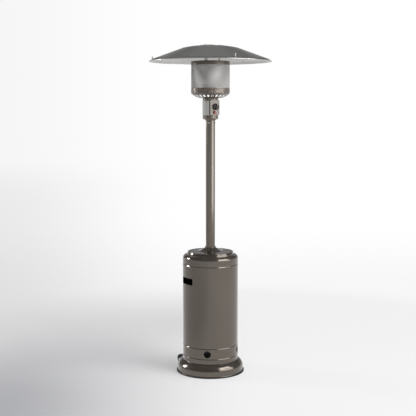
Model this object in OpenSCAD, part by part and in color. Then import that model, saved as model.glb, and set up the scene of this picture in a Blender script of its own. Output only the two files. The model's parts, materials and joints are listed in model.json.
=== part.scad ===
// Propane patio heater. Millimetres, +Z up, origin at the middle of the base's underside.
// The control panel faces -Y. A bearing is counted in degrees from -Y towards +X.

/* [Sheet metal and fits] */
// Steel sheet of the housing, the lid, the neck and the burner shells
sheet_t = 1.2; // [0.8:0.1:1.5]
// Radial play between pieces that turn or slide on each other
running_gap = 0.08; // [0.03:0.01:0.1]
// Gap between pieces that are fitted together and stay still
seat_gap = 0.1; // [0.05:0.05:0.2]

/* [Base] */
// Diameter of the base over its edge trim
base_d = 471; // [455:1:510]
// Height of the ledge that the housing stands on
base_h = 87; // [75:1:100]
// Steel of the pressed base
skirt_wall = 2; // [1.5:0.1:2.5]
// Height of the rubber edge trim
trim_h = 9; // [8:0.5:12]
// Rubber outside the skirt's flange
trim_t = 2.4; // [2:0.1:3]
// Thickness of the iron weight
weight_t = 26; // [15:1:32]
// Diameter of the hole in the weight
weight_hole_d = 120; // [80:1:200]

/* [Housing] */
// Diameter of the bottle housing
housing_d = 384; // [380:1:400]
// Height of the housing from the ledge to its shoulder
housing_h = 736; // [720:1:800]
// Radius of the rounded shoulder
shoulder_r = 23; // [15:1:23]
// Diameter of the lid
lid_d = 325.4; // [300:1:326]
// Height of the lid's rim above the shoulder
lid_rise = 22; // [16:1:26]
// Diameter of the foot of the hub that runs from the lid up to the pole
hub_d = 132; // [120:1:150]
// Width of a hand slot
slot_w = 136; // [100:1:150]
// Height of a hand slot
slot_h = 45; // [35:1:50]
// Height of the slots' middle above the ledge
slot_rise = 562.5; // [500:1:600]
// Diameter of the vent holes
vent_d = 49; // [30:1:50]
// Height of the vent holes above the ledge
vent_rise = 70; // [60:1:75]

/* [Pole and legs] */
// Outer diameter of the pole
pole_d = 63.5; // [55:0.5:66]
// Wall of the pole
pole_wall = 1.5; // [1.2:0.1:2]
// Length of the pole
pole_len = 1086; // [950:1:1200]
// Height of the bottle bay, from the base to the top of the leg arms
bay_h = 565; // [550:1:590]
// Width of the flat bar of a leg
leg_w = 30; // [24:1:34]
// Thickness of the flat bar of a leg
leg_t = 4; // [3:0.5:5]
// Outer radius that the legs stand on
leg_r = 173; // [171:1:176]

/* [Wheels] */
// Diameter of a wheel
wheel_d = 64; // [56:1:66]
// Width of a wheel
wheel_w = 24; // [18:1:30]
// Distance between the middles of the wheels
wheel_track = 160; // [150:1:190]
// Gap between a wheel and the base in front of it
wheel_gap = 2; // [1:0.5:10]
// Height of the axle: the wheels stay off the ground until the heater is tipped
axle_h = 36; // [35:1:42]
// Diameter of the axle
axle_d = 10; // [8:0.5:12]

/* [Gas bottle] */
// Diameter of the bottle
bottle_d = 310; // [290:1:312]
// Height of the bottle to the top of its collar
bottle_h = 452; // [446:1:460]
// Steel of the bottle
bottle_wall = 3; // [2.5:0.1:4]
// Diameter of the hose
hose_d = 13; // [11:0.5:14]

/* [Head] */
// Diameter of the neck that holds the controls
neck_d = 107; // [102:1:112]
// Height of the neck
neck_h = 144; // [140:1:160]
// Width of the control panel
panel_w = 68; // [62:1:72]
// Height of the control panel
panel_h = 101; // [98:1:108]
// Distance from the pole's axis out to the panel's face
panel_reach = 58; // [57:0.5:62]
// Diameter of the knob
knob_d = 45; // [38:1:46]
// Diameter of the round burner band
band_d = 265.4; // [255:1:280]
// Height of the slotted bowl under the band
bowl_h = 32; // [26:1:40]
// Height of the band
band_h = 35; // [32:1:45]
// Number of air slots in the bowl
slot_count = 24; // [18:1:28]
// Height of the emitter screen that shows
screen_h = 156; // [120:1:200]
// Height of the cap on the screen
cap_h = 25; // [20:1:35]

/* [Reflector] */
// Diameter of the reflector
dish_d = 838; // [700:1:900]
// Height of the standoffs between the cap and the reflector
standoff_len = 106; // [90:1:140]
// Diameter of the rounded crown in the reflector's middle
crown_d = 380; // [300:1:400]
// Drop of the straight cone from the crown to the rim
cone_drop = 77.5; // [60:0.5:90]
// Sheet of the reflector
dish_t = 1; // [0.8:0.1:1.5]

/* [Hidden] */
$fn = 96;
// Overrun of a cutting tool past the face that it cuts
over = 3;

// Heights, stacked from the ground up
flange_z = 7;
ledge_z = base_h;
step_h = 8;
deck_z = ledge_z + step_h;
arm_z = deck_z + bay_h;
head_z = arm_z + pole_len;
socket_cone_h = 9;
neck_z = head_z + socket_cone_h;
bowl_z = neck_z + neck_h;
band_z = bowl_z + bowl_h;
band_lap = 19;
plate_z = band_z + band_lap;
band_top_z = band_z + band_h;
cap_z = band_top_z + screen_h;
cap_top_z = cap_z + cap_h;

// Radii that the shells are drawn from
pole_r = pole_d / 2;
housing_r = housing_d / 2;
base_r = base_d / 2;
flange_r = base_r - trim_t;
flange_w = 4.7;
skirt_r = flange_r - flange_w;
housing_play = 2.3;
step_r = housing_r - sheet_t - housing_play;
ledge_w = 3;
ledge_r = housing_r + ledge_w;
bottle_r = bottle_d / 2;
neck_r = neck_d / 2;
band_r = band_d / 2;
dish_r = dish_d / 2;
crown_r = crown_d / 2;

// Bearings
camera_leg_bearing = 75;
leg_bearings = [180, -camera_leg_bearing, camera_leg_bearing];
head_screw_bearings = [-31.5, 88.5, 208.5];
pole_screw_bearings = [-55, 65, 185];
seam_bearings = [-12, 108, 228];
slot_bearings = [-96, 84];
vent_bearings = [-42, 42, 138, 222];
bowl_slot_turn = 2;
collar_open_bearing = 50;

// Shares that fasteners and small forms follow
hex_share = 1.8;
head_share = 0.65;
nut_share = 0.8;
pan_share = 1.9;
pan_h_share = 0.6;
pan_bulge_share = 0.15;
thread_past_share = 1.3;

bronze = "#5f574f";
bronze_hammered = "#675f57";
steel = "#b9b8b3";
dark_steel = "#3b3a38";
black = "#161616";
brass = "#b08d3e";
silver = "#d2d1ce";

function unit(v) = v / norm(v);
function side(a, b) = let(d = unit(b - a)) [d[1], -d[0]];
function tail(list) = [for (i = [1:len(list) - 1]) list[i]];
function reversed(list) = [for (i = [len(list) - 1:-1:0]) list[i]];

// Points of an arc about c
function arc(c, r, a0, a1, n) = [for (i = [0:n]) let(a = a0 + (a1 - a0) * i / n) c + r * [cos(a), sin(a)]];

// An arc from p to q that bulges to the left of p-q by a share of their distance
function bulge(p, q, share, n) =
    let(d = q - p, c = norm(d), u = d / c, s = share * c, r = (c * c / 4 + s * s) / (2 * s),
        h = asin(c / (2 * r)))
    [for (i = [0:n]) let(a = h * (2 * i / n - 1))
        p + u * (c / 2 + r * sin(a)) + [-u[1], u[0]] * (r * cos(a) - r + s)];

// The corner at b, rounded with radius r between its neighbours a and c
function corner(a, b, c, r, n) =
    let(u = unit(a - b), v = unit(c - b), half = acos(max(-1, min(1, u * v))) / 2,
        o = b + unit(u + v) * r / sin(half), s = b + u * r / tan(half) - o,
        e = b + v * r / tan(half) - o, a0 = atan2(s[1], s[0]),
        turn = (atan2(e[1], e[0]) - a0 + 540) % 360 - 180)
    [for (i = [0:n]) o + r * [cos(a0 + turn * i / n), sin(a0 + turn * i / n)]];

function flat(p) = [p[0], p[1]];

// A path from halfway along its second edge to halfway along its last but one
function inner_of(path) = let(n = len(path)) concat(
    [(path[1] + path[2]) / 2], [for (i = [2:n - 3]) path[i]], [(path[n - 3] + path[n - 2]) / 2]);

// A path of [x, y, corner radius] points with its inner corners rounded
function smooth(path, n = 6) = [
    for (i = [0:len(path) - 1])
        for (p = i == 0 || i == len(path) - 1 || path[i][2] == 0 ? [flat(path[i])]
            : corner(flat(path[i - 1]), flat(path[i]), flat(path[i + 1]), path[i][2], n)) p];

// The same for a closed outline
function smooth_loop(path, n = 6) = [
    for (i = [0:len(path) - 1]) let(m = len(path))
        for (p = path[i][2] == 0 ? [flat(path[i])]
            : corner(flat(path[(i + m - 1) % m]), flat(path[i]), flat(path[(i + 1) % m]), path[i][2], n)) p];

// A path moved to its right by t, and the outline of a wall that lies to its right
function inset(path, t) = [
    for (i = [0:len(path) - 1])
        let(a = i > 0 ? side(path[i - 1], path[i]) : side(path[0], path[1]),
            b = i < len(path) - 1 ? side(path[i], path[i + 1]) : a)
        let(p = path[i] + t * (a + b) / (1 + a * b)) [max(0, p[0]), p[1]]];
function wall_outline(path, t) = concat(path, reversed(inset(path, t)));

module shell(path, t) { rotate_extrude() polygon(wall_outline(path, t)); }
module shell_sector(path, t, angle) { rotate_extrude(angle=angle) polygon(wall_outline(path, t)); }

// Local +X points outwards at bearing b
module at_bearing(b, r = 0, z = 0) { rotate([0, 0, b - 90]) translate([r, 0, z]) children(); }

// Local +Z points out of the front, at a distance from the pole's axis
module facing(reach, x, z) { translate([x, -reach, z]) rotate([90, 0, 0]) children(); }

// A hex bolt on the plane z = 0 with its nut under the grip
module bolt(d, grip) {
    nut_h = d * nut_share;
    cylinder(d=d * hex_share, h=d * head_share, $fn=6);
    shank = grip + nut_h * thread_past_share;
    translate([0, 0, -shank]) cylinder(d=d, h=shank + d * head_share / 2);
    translate([0, 0, -grip - nut_h]) cylinder(d=d * hex_share, h=nut_h, $fn=6);
}

// A pan-head screw on the plane z = 0
module pan_screw(d, length) {
    head_r = d * pan_share / 2;
    head_h = d * pan_h_share;
    rotate_extrude() polygon(concat(
        [[0, -length], [d / 2, -length], [d / 2, 0], [head_r, 0]],
        reversed(bulge([0, head_h], [head_r, head_h / 3], pan_bulge_share, 5))));
}

// A point at share t between b and c on a curve through a, b, c and d
function between(a, b, c, d, t) =
    0.5 * (2 * b + (c - a) * t + (2 * a - 5 * b + 4 * c - d) * t * t + (3 * b - a - 3 * c + d) * t * t * t);

// Points along a smooth route, with steps[i] points in each stretch
function along(route, steps) = [
    for (i = [0:len(route) - 2]) let(n = len(route) - 1)
        for (j = [0:steps[i] - 1])
            between(route[max(0, i - 1)], route[i], route[i + 1], route[min(n, i + 2)], j / steps[i]),
    route[len(route) - 1]];

// A route moved up
function raised(route, z) = [for (p = route) [p[0], p[1], p[2] + z]];

// A round tube swept along points; keep is a direction that the route never takes
module tube(points, d, sides, keep) {
    n = len(points);
    rings = [for (i = [0:n - 1])
        let(t = unit(points[min(i + 1, n - 1)] - points[max(i - 1, 0)]))
        let(u = unit(cross(t, keep)), v = cross(t, u))
        for (j = [0:sides - 1]) points[i] + d / 2 * (u * cos(360 * j / sides) + v * sin(360 * j / sides))];
    faces = concat(
        [[for (j = [0:sides - 1]) j]],
        [for (i = [0:n - 2]) for (j = [0:sides - 1])
            let(next = (j + 1) % sides)
            [i * sides + j, (i + 1) * sides + j, (i + 1) * sides + next, i * sides + next]],
        [[for (j = [sides - 1:-1:0]) (n - 1) * sides + j]]);
    polyhedron(rings, faces);
}

// Base

step_round = 4;
shoulder_bottom_z = 44;
flange_round = 4;
skirt_bulge_share = 0.13;
trim_grip_w = 3.6;
weight_chamfer_share = 0.12;
foot_bolt_d = 8;
foot_len = 50;
foot_bolt_shares = [0.25, 0.78];
skirt_bolt_d = 6;
hole_gap = 0.2;

module skirt_bolt_spots() {
    for (side = [-1, 1]) at_bearing(180 + side * bracket_bolt_turn, bracket_inner_r, bracket_mid_z)
        rotate([0, 90, 0]) children();
}

module foot_bolt_spots() {
    inner = leg_r - leg_t - foot_len;
    for (b = leg_bearings) for (share = foot_bolt_shares)
        at_bearing(b, inner + share * (foot_len - leg_bend_r), deck_z) children();
}

module base_skirt() color(bronze) {
    path = concat(
        smooth([[0, deck_z, 0], [step_r, deck_z, step_round], [step_r, ledge_z, step_round / 2],
            [ledge_r, ledge_z, 0]]),
        tail(bulge([ledge_r, ledge_z], [skirt_r, shoulder_bottom_z], skirt_bulge_share, 10)),
        tail(smooth([[skirt_r, shoulder_bottom_z, 0], [skirt_r, flange_z, flange_round],
            [flange_r, flange_z, 0]])));
    difference() {
        shell(path, skirt_wall);
        foot_bolt_spots() translate([0, 0, -over - skirt_wall])
            cylinder(d=foot_bolt_d + 2 * hole_gap, h=skirt_wall + 2 * over);
        skirt_bolt_spots() translate([0, 0, -skirt_wall - over])
            cylinder(d=skirt_bolt_d + 2 * hole_gap, h=skirt_wall + 2 * over);
    }
}

module base_edge_trim() color(black) {
    grip_r = flange_r - trim_grip_w;
    groove_z = flange_z - skirt_wall;
    rotate_extrude() polygon(smooth_loop([
        [grip_r, 0, 0], [base_r, 0, trim_t / 2], [base_r, trim_h, trim_t / 3],
        [flange_r - seat_gap * 4, trim_h, 0], [flange_r - seat_gap * 4, flange_z + seat_gap, 0],
        [flange_r + seat_gap, flange_z + seat_gap, 0], [flange_r + seat_gap, groove_z - seat_gap, 0],
        [grip_r, groove_z - seat_gap, 0]]));
}

module base_weight() color(dark_steel) {
    weight_r = step_r - skirt_wall - housing_play;
    chamfer = weight_t * weight_chamfer_share;
    top = deck_z - skirt_wall;
    difference() {
        rotate_extrude() polygon([
            [weight_hole_d / 2, top - weight_t], [weight_r - chamfer, top - weight_t],
            [weight_r, top - weight_t + chamfer], [weight_r, top - chamfer],
            [weight_r - chamfer, top], [weight_hole_d / 2, top]]);
        foot_bolt_spots() translate([0, 0, -skirt_wall - weight_t - over])
            cylinder(d=foot_bolt_d + 2 * hole_gap, h=weight_t + 2 * over);
    }
}

// Legs and pole

leg_bend_r = 6;
leg_arm_r = 40;
tab_len = 70;
tab_bolt_d = 6;
tab_bolt_shares = [0.3, 0.72];
tab_bolt_len = 8;

module tab_bolt_spots(bearings) {
    for (b = bearings) for (share = tab_bolt_shares)
        at_bearing(b, pole_r + seat_gap + leg_t, arm_z + tab_len * share) rotate([0, 90, 0]) children();
}

module leg(b) color(dark_steel) {
    tab_r = pole_r + seat_gap;
    path = smooth([
        [leg_r - leg_t - foot_len, deck_z, 0], [leg_r, deck_z, leg_bend_r + leg_t],
        [leg_r, arm_z, leg_arm_r + leg_t], [tab_r + leg_t, arm_z, leg_bend_r],
        [tab_r + leg_t, arm_z + tab_len, 0]]);
    difference() {
        at_bearing(b) rotate([90, 0, 0]) linear_extrude(leg_w, center=true)
            polygon(wall_outline(path, -leg_t));
        foot_bolt_spots() translate([0, 0, -over])
            cylinder(d=foot_bolt_d + 2 * hole_gap, h=leg_t + 2 * over);
        tab_bolt_spots([b]) translate([0, 0, -leg_t - over])
            cylinder(d=tab_bolt_d + 2 * hole_gap, h=leg_t + 2 * over);
    }
}

module leg_rear() { leg(leg_bearings[0]); }
module leg_left() { leg(leg_bearings[1]); }
module leg_right() { leg(leg_bearings[2]); }

module leg_foot_bolts() color(steel) {
    foot_bolt_spots() translate([0, 0, leg_t]) bolt(foot_bolt_d, leg_t + skirt_wall + weight_t);
}

module leg_pole_bolts() color(steel) {
    tab_bolt_spots(leg_bearings) {
        cylinder(d=tab_bolt_d * hex_share, h=tab_bolt_d * head_share, $fn=6);
        translate([0, 0, -leg_t - tab_bolt_len])
            cylinder(d=tab_bolt_d, h=leg_t + tab_bolt_len + tab_bolt_d * head_share / 2);
    }
}

pole_screw_d = 5;
pole_screw_drop = 16;
pole_screw_len = 6;

module pole_screw_spots() {
    for (b = pole_screw_bearings)
        at_bearing(b, pole_r, head_z - pole_screw_drop) rotate([0, 90, 0]) children();
}

module pole() color(bronze) {
    difference() {
        translate([0, 0, arm_z]) cylinder(r=pole_r, h=pole_len);
        translate([0, 0, arm_z - over]) cylinder(r=pole_r - pole_wall, h=pole_len + 2 * over);
        tab_bolt_spots(leg_bearings) translate([0, 0, -leg_t - pole_wall - over])
            cylinder(d=tab_bolt_d + 2 * hole_gap, h=leg_t + pole_wall + over);
        pole_screw_spots() translate([0, 0, -pole_wall - over])
            cylinder(d=pole_screw_d + 2 * hole_gap, h=pole_wall + 2 * over);
    }
}

module pole_screws() color(silver) { pole_screw_spots() pan_screw(pole_screw_d, pole_screw_len); }

// Wheels and their bracket

wheel_inner_x = wheel_track / 2 - wheel_w / 2;
axle_back = sqrt(pow(skirt_r, 2) - pow(wheel_inner_x, 2)) + wheel_d / 2 + wheel_gap;
bracket_t = 3;
bracket_low_z = 12;
bracket_high_z = 28;
bracket_inner_r = skirt_r + seat_gap;
bracket_mid_z = (bracket_low_z + bracket_high_z) / 2;
ear_out_r = 12;
ear_gap = 4;
ear_x = wheel_inner_x - ear_gap;
ear_start = sqrt(pow(bracket_inner_r + seat_gap, 2) - pow(ear_x - bracket_t, 2));
bracket_turn = asin(ear_x / bracket_inner_r);
bracket_bolt_share = 0.53;
bracket_bolt_turn = bracket_turn * bracket_bolt_share;
cap_t = 5;
cap_gap = 1;
cap_r_share = 0.85;
cap_bore_share = 0.75;

module wheel_bracket() color(dark_steel) {
    difference() {
        union() {
            at_bearing(180 - bracket_turn, 0, bracket_low_z) rotate_extrude(angle=2 * bracket_turn)
                translate([bracket_inner_r, 0]) square([bracket_t, bracket_high_z - bracket_low_z]);
            for (side = [-1, 1]) translate([side * (ear_x - bracket_t / 2), 0, 0]) rotate([90, 0, 90])
                linear_extrude(bracket_t, center=true) {
                    translate([axle_back, axle_h]) circle(r=ear_out_r);
                    polygon([[ear_start, bracket_low_z], [axle_back, axle_h - ear_out_r],
                        [axle_back, axle_h + ear_out_r], [ear_start, bracket_high_z]]);
                }
        }
        translate([0, axle_back, axle_h]) rotate([0, 90, 0])
            cylinder(d=axle_d + 2 * seat_gap, h=2 * ear_x + 2 * over, center=true);
        skirt_bolt_spots() translate([0, 0, -over])
            cylinder(d=skirt_bolt_d + 2 * hole_gap, h=bracket_t + 2 * over);
    }
}

module wheel_bracket_bolts() color(steel) {
    skirt_bolt_spots() translate([0, 0, bracket_t]) bolt(skirt_bolt_d, bracket_t + skirt_wall + 3 * seat_gap);
}

module wheel_axle() color(steel) {
    length = wheel_track + wheel_w + 2 * (cap_gap + cap_t);
    translate([0, axle_back, axle_h]) rotate([0, 90, 0])
        cylinder(d=axle_d, h=length - cap_t / 2, center=true);
}

module axle_caps() color(steel) {
    for (side = [-1, 1]) translate([side * (wheel_track / 2 + wheel_w / 2 + cap_gap), axle_back, axle_h])
        rotate([0, side * 90, 0]) difference() {
            rotate_extrude() polygon(smooth_loop([[0, 0, 0], [axle_d * cap_r_share, 0, 0],
                [axle_d * cap_r_share, cap_t, cap_t / 2], [0, cap_t + cap_gap, 0]]));
            translate([0, 0, -over])
                cylinder(d=axle_d + seat_gap / 2, h=over + cap_t * cap_bore_share + seat_gap);
        }
}

wheel_web_share = 0.12;
wheel_rim_share = 0.78;
wheel_edge_share = 0.2;
wheel_hole_count = 5;
wheel_hole_share = 0.7;

module wheel(side) color(black) {
    wheel_r = wheel_d / 2;
    rim_r = wheel_r * wheel_rim_share;
    bore_r = axle_d / 2 + running_gap;
    hub_r = axle_d;
    half = wheel_w / 2;
    web = wheel_w * wheel_web_share;
    edge = wheel_w * wheel_edge_share;
    translate([side * wheel_track / 2, axle_back, axle_h]) rotate([0, 90, 0]) difference() {
        rotate_extrude() polygon(smooth_loop([
            [bore_r, -half, 0], [hub_r, -half, 0], [hub_r, -web, 0], [rim_r, -web, 0], [rim_r, -half, 0],
            [wheel_r, -half, edge], [wheel_r, half, edge], [rim_r, half, 0], [rim_r, web, 0], [hub_r, web, 0],
            [hub_r, half, 0], [bore_r, half, 0]]));
        for (k = [1:wheel_hole_count]) rotate([0, 0, 360 * k / wheel_hole_count])
            translate([(hub_r + rim_r) / 2, 0, 0])
            cylinder(d=axle_d * wheel_hole_share, h=wheel_w, center=true);
    }
}

module wheel_left() { wheel(-1); }
module wheel_right() { wheel(1); }

// Gas bottle

foot_ring_r = 100;
foot_ring_h = 36;
foot_ring_round = 2;
bottle_lift = 18;
dome_share = 0.5;
dome_h = bottle_r * dome_share;
collar_rise = 129;
bottle_side_h = bottle_h - bottle_lift - 2 * dome_h - collar_rise;
dome_low_z = deck_z + bottle_lift + dome_h;
dome_high_z = dome_low_z + bottle_side_h;
dome_top_z = dome_high_z + dome_h;
boss_r = 20;
boss_h = 9;
boss_z = dome_top_z + boss_h;
valve_shank_r = 13;
weld_w = 12;
weld_out = 1.5;
collar_r = 98;
collar_t = 3;
collar_bead_r = 4;
collar_top_z = deck_z + bottle_h;
grip_w = 80;
grip_h = 28;
grip_drop = 38;
grip_bearing = 100;
grip_round_share = 0.48;

function dome(r, h, z, a0, a1) =
    [for (i = [0:10]) let(a = a0 + (a1 - a0) * i / 10) [r * cos(a), z + h * sin(a)]];
// Height of the upper dome's skin at radius r
function dome_skin(r) = dome_high_z + dome_h * sqrt(1 - pow(r / bottle_r, 2));

module gas_bottle() color("#dcdcd8") {
    weld_z = dome_low_z + bottle_side_h / 2;
    inner_r = bottle_r - bottle_wall;
    inner_h = dome_h - bottle_wall;
    bore_a = acos(valve_shank_r / inner_r);
    difference() {
        union() {
            rotate_extrude() polygon(concat(
                [[0, dome_low_z - dome_h]], tail(dome(bottle_r, dome_h, dome_low_z, -90, 0)),
                [[bottle_r, weld_z - weld_w / 2], [bottle_r + weld_out, weld_z - weld_w / 4],
                    [bottle_r + weld_out, weld_z + weld_w / 4], [bottle_r, weld_z + weld_w / 2]],
                dome(bottle_r, dome_h, dome_high_z, 0, acos(boss_r / bottle_r)),
                [[boss_r, boss_z], [0, boss_z]]));
            translate([0, 0, deck_z]) rotate_extrude() polygon(smooth([
                [foot_ring_r + 1.5 * bottle_wall, 0, 0], [foot_ring_r + 1.5 * bottle_wall, bottle_wall, 0],
                [foot_ring_r, bottle_wall, foot_ring_round], [foot_ring_r, foot_ring_h + bottle_wall, 0],
                [foot_ring_r - bottle_wall, foot_ring_h + bottle_wall, 0],
                [foot_ring_r - bottle_wall, 0, 0]]));
        }
        rotate_extrude() polygon(concat(
            [[0, dome_low_z - inner_h]], tail(dome(inner_r, inner_h, dome_low_z, -90, 0)),
            dome(inner_r, inner_h, dome_high_z, 0, bore_a),
            [[valve_shank_r, boss_z + over], [0, boss_z + over]]));
    }
}

module bottle_collar() color("#dcdcd8") {
    low_z = dome_skin(collar_r - collar_t) + seat_gap;
    mid_r = collar_r - collar_t / 2;
    difference() {
        at_bearing(collar_open_bearing) rotate_extrude(angle=360 - 2 * collar_open_bearing) polygon(concat(
            [[collar_r - collar_t, low_z], [collar_r, low_z]],
            arc([mid_r, collar_top_z - collar_bead_r], collar_bead_r, -60, 240, 10)));
        for (side = [-1, 1]) at_bearing(side * grip_bearing, mid_r, collar_top_z - grip_drop)
            rotate([90, 0, 90]) linear_extrude(6 * collar_t, center=true)
            polygon(slot_outline(grip_w, grip_h, grip_h * grip_round_share));
    }
}

function slot_outline(w, h, r) = smooth_loop([
    [-w / 2, -h / 2, r], [w / 2, -h / 2, r], [w / 2, h / 2, r], [-w / 2, h / 2, r]]);

// A slot with fully rounded ends, long in X
module stadium(length, w) {
    square([length - w, w], center=true);
    for (side = [-1, 1]) translate([side * (length - w) / 2, 0]) circle(d=w);
}

valve_hex_h = 10;
valve_body_h = 26;
valve_body_r = 15;
bonnet_h = 14;
bonnet_r = 10;
stem_r = 4;
stem_h = 20;
outlet_r = 16.5;
outlet_reach = 42;
outlet_bore_r = 9.4;
outlet_bore_len = 12;
outlet_z = boss_z + valve_hex_h + valve_body_h / 2;
valve_top_z = boss_z + valve_hex_h + valve_body_h;

module bottle_valve() color(brass) {
    difference() {
        union() {
            translate([0, 0, dome_top_z]) cylinder(r=valve_shank_r - seat_gap, h=boss_h + valve_hex_h / 2);
            translate([0, 0, boss_z]) cylinder(r=boss_r, h=valve_hex_h, $fn=6);
            translate([0, 0, boss_z]) cylinder(r=valve_body_r, h=valve_hex_h + valve_body_h);
            translate([0, 0, valve_top_z - over]) cylinder(r=bonnet_r, h=bonnet_h + over);
            translate([0, 0, valve_top_z]) cylinder(r=stem_r, h=bonnet_h + stem_h);
            facing(0, 0, outlet_z) cylinder(r=outlet_r, h=outlet_reach);
        }
        facing(outlet_reach - outlet_bore_len, 0, outlet_z)
            cylinder(r=outlet_bore_r, h=outlet_bore_len + over);
    }
}

handwheel_r = 28;
handwheel_h = 20;
handwheel_rise = 3;
handwheel_z = valve_top_z + bonnet_h + handwheel_rise;
handwheel_round = 2;
handwheel_scallops = 8;
scallop_share = 0.22;

module bottle_handwheel() color(black) {
    scallop_r = handwheel_r * scallop_share;
    face = handwheel_h * 0.85;
    translate([0, 0, handwheel_z]) difference() {
        rotate_extrude() polygon(smooth_loop([
            [0, 0, 0], [handwheel_r * 0.55, 0, handwheel_round],
            [handwheel_r, handwheel_h * 0.3, handwheel_round], [handwheel_r, face, handwheel_round],
            [handwheel_r * 0.6, handwheel_h, handwheel_round],
            [handwheel_r * 0.5, face, handwheel_round / 2], [0, face, 0]]));
        for (k = [1:handwheel_scallops]) rotate([0, 0, 360 * k / handwheel_scallops])
            translate([handwheel_r + scallop_r / 2, 0, -over])
            cylinder(r=scallop_r, h=handwheel_h + 2 * over);
        translate([0, 0, -over])
            cylinder(r=stem_r + running_gap, h=over + stem_h - handwheel_rise + hole_gap);
    }
}

nut_len = 38;
nut_r = 24;
nut_start = 25;
nipple_r = 9;
nut_web = 5;
nut_round = 2;
nut_groove_r = 3;
nut_grooves = 12;

module coupling_nut() color("#1f6b3a") {
    facing(nut_start, 0, outlet_z) difference() {
        rotate_extrude() polygon(smooth_loop([
            [outlet_r + running_gap, 0, 0], [nut_r, 0, nut_round], [nut_r, nut_len * 0.75, 2 * nut_round],
            [nut_r * 0.8, nut_len, nut_round], [nipple_r + running_gap, nut_len, 0],
            [nipple_r + running_gap, nut_len - nut_web, 0], [outlet_r + running_gap, nut_len - nut_web, 0]]));
        for (k = [1:nut_grooves]) rotate([0, 0, 360 * k / nut_grooves])
            translate([nut_r + nut_groove_r / 2, 0, -over]) cylinder(r=nut_groove_r, h=nut_len + 2 * over);
    }
}

regulator_reach = 100;
regulator_r = 31;
regulator_body_r = 26;
regulator_low = 16;
regulator_high = 22;
flange_half_t = 3;
regulator_round = 2;
cover_r = 12;
cover_screws = 6;
barb_r = 8;
barb_end = 58;
barb_ring_share = 1.15;
barb_ring_at_share = 0.72;
barb_ring_w_share = 0.14;
cover_screw_share = 0.75;
nose_share = 0.7;

module gas_regulator() color("#8d8f90") {
    nose = outlet_reach - outlet_bore_len * nose_share;
    translate([0, -regulator_reach, outlet_z]) {
        rotate_extrude() polygon(smooth_loop([
            [0, -regulator_low, 0], [regulator_body_r, -regulator_low, regulator_round],
            [regulator_body_r, -flange_half_t, 0], [regulator_r, -flange_half_t, regulator_round / 2],
            [regulator_r, flange_half_t, regulator_round / 2], [regulator_body_r, flange_half_t, 0],
            [regulator_body_r, regulator_high * 0.55, 2 * regulator_round],
            [cover_r, regulator_high * 0.7, regulator_round / 2], [cover_r, regulator_high, regulator_round],
            [0, regulator_high, 0]]));
        rotate([0, 90, 0]) cylinder(r=barb_r, h=barb_end);
        translate([barb_end * barb_ring_at_share, 0, 0]) rotate([0, 90, 0])
            cylinder(r=barb_r * barb_ring_share, h=barb_end * barb_ring_w_share);
        for (k = [1:cover_screws]) rotate([0, 0, 360 * (k + 0.5) / cover_screws])
            translate([(regulator_r + regulator_body_r) / 2, 0, 0])
            cylinder(r=flange_half_t * cover_screw_share, h=flange_half_t + flange_half_t / 2);
    }
    facing(nose, 0, outlet_z) cylinder(r=nipple_r, h=regulator_reach - nose);
}

strap_w = 25;
strap_t = 2;
strap_rise = 205;

module strap_outline(grow) {
    hull() {
        circle(r=bottle_r + grow);
        for (b = leg_bearings) at_bearing(b, leg_r - leg_t) translate([0, -leg_w / 2 - grow])
            square([leg_t + grow, leg_w + 2 * grow]);
    }
}

module bottle_strap() color("#2a2a2c") {
    translate([0, 0, deck_z + strap_rise]) linear_extrude(strap_w) difference() {
        strap_outline(seat_gap * 3 + strap_t);
        strap_outline(seat_gap * 3);
    }
}

buckle_bearing = -20;
buckle_w = 44;
buckle_h = 36;
buckle_t = 4;
buckle_bar = 5;

module strap_buckle() color(steel) {
    at_bearing(buckle_bearing, bottle_r + seat_gap * 4 + strap_t, deck_z + strap_rise + strap_w / 2)
        rotate([90, 0, 90]) {
            linear_extrude(buckle_t) difference() {
                polygon(slot_outline(buckle_w, buckle_h, buckle_bar));
                for (side = [-1, 1]) translate([side * buckle_w / 4, 0])
                    polygon(slot_outline(buckle_w / 2 - 1.5 * buckle_bar, buckle_h - 2 * buckle_bar,
                        buckle_bar / 2));
            }
            translate([-buckle_bar / 2, -strap_w / 2, buckle_t]) cube([buckle_w / 2, strap_w, buckle_t / 2]);
        }
}

// Housing

groove_w = 2.8;
groove_depth = 11;
lid_r = lid_d / 2;
crest_z = ledge_z + housing_h;
lid_seat_z = crest_z - groove_depth;
lid_z = crest_z + lid_rise;
hub_rise = 33;
hub_round_share = 1.2;
lid_rim_w = 6;
lid_rim_round = 2.5;
crease_w = 4;
crease_drop = 3;
crease_round = 1.5;
lid_fall = 1;
lid_belly_share = 0.18;
lid_belly_round_share = 2.7;
crest_w = 1;
crest_round = 1.8;
groove_round = 2;
bead_w = 10;
bead_out = 2;
bead_round = 2;
bead_rises = [667, 103, 31];
bead_shares = [[0, 0.5], [1, 0], [0, -0.5]];
lid_seat_w = 14;
housing_lift_gap = 0.3;
bushing_t = 3.2;
bushing_bore_r = pole_r + running_gap;
bushing_r = bushing_bore_r + bushing_t;
mouth_r = bushing_r + running_gap + sheet_t;
mouth_h = 6;
mouth_round = 3;
mouth_z = lid_z + hub_rise;
bushing_len = 13;
bushing_lip_share = 0.6;

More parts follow.
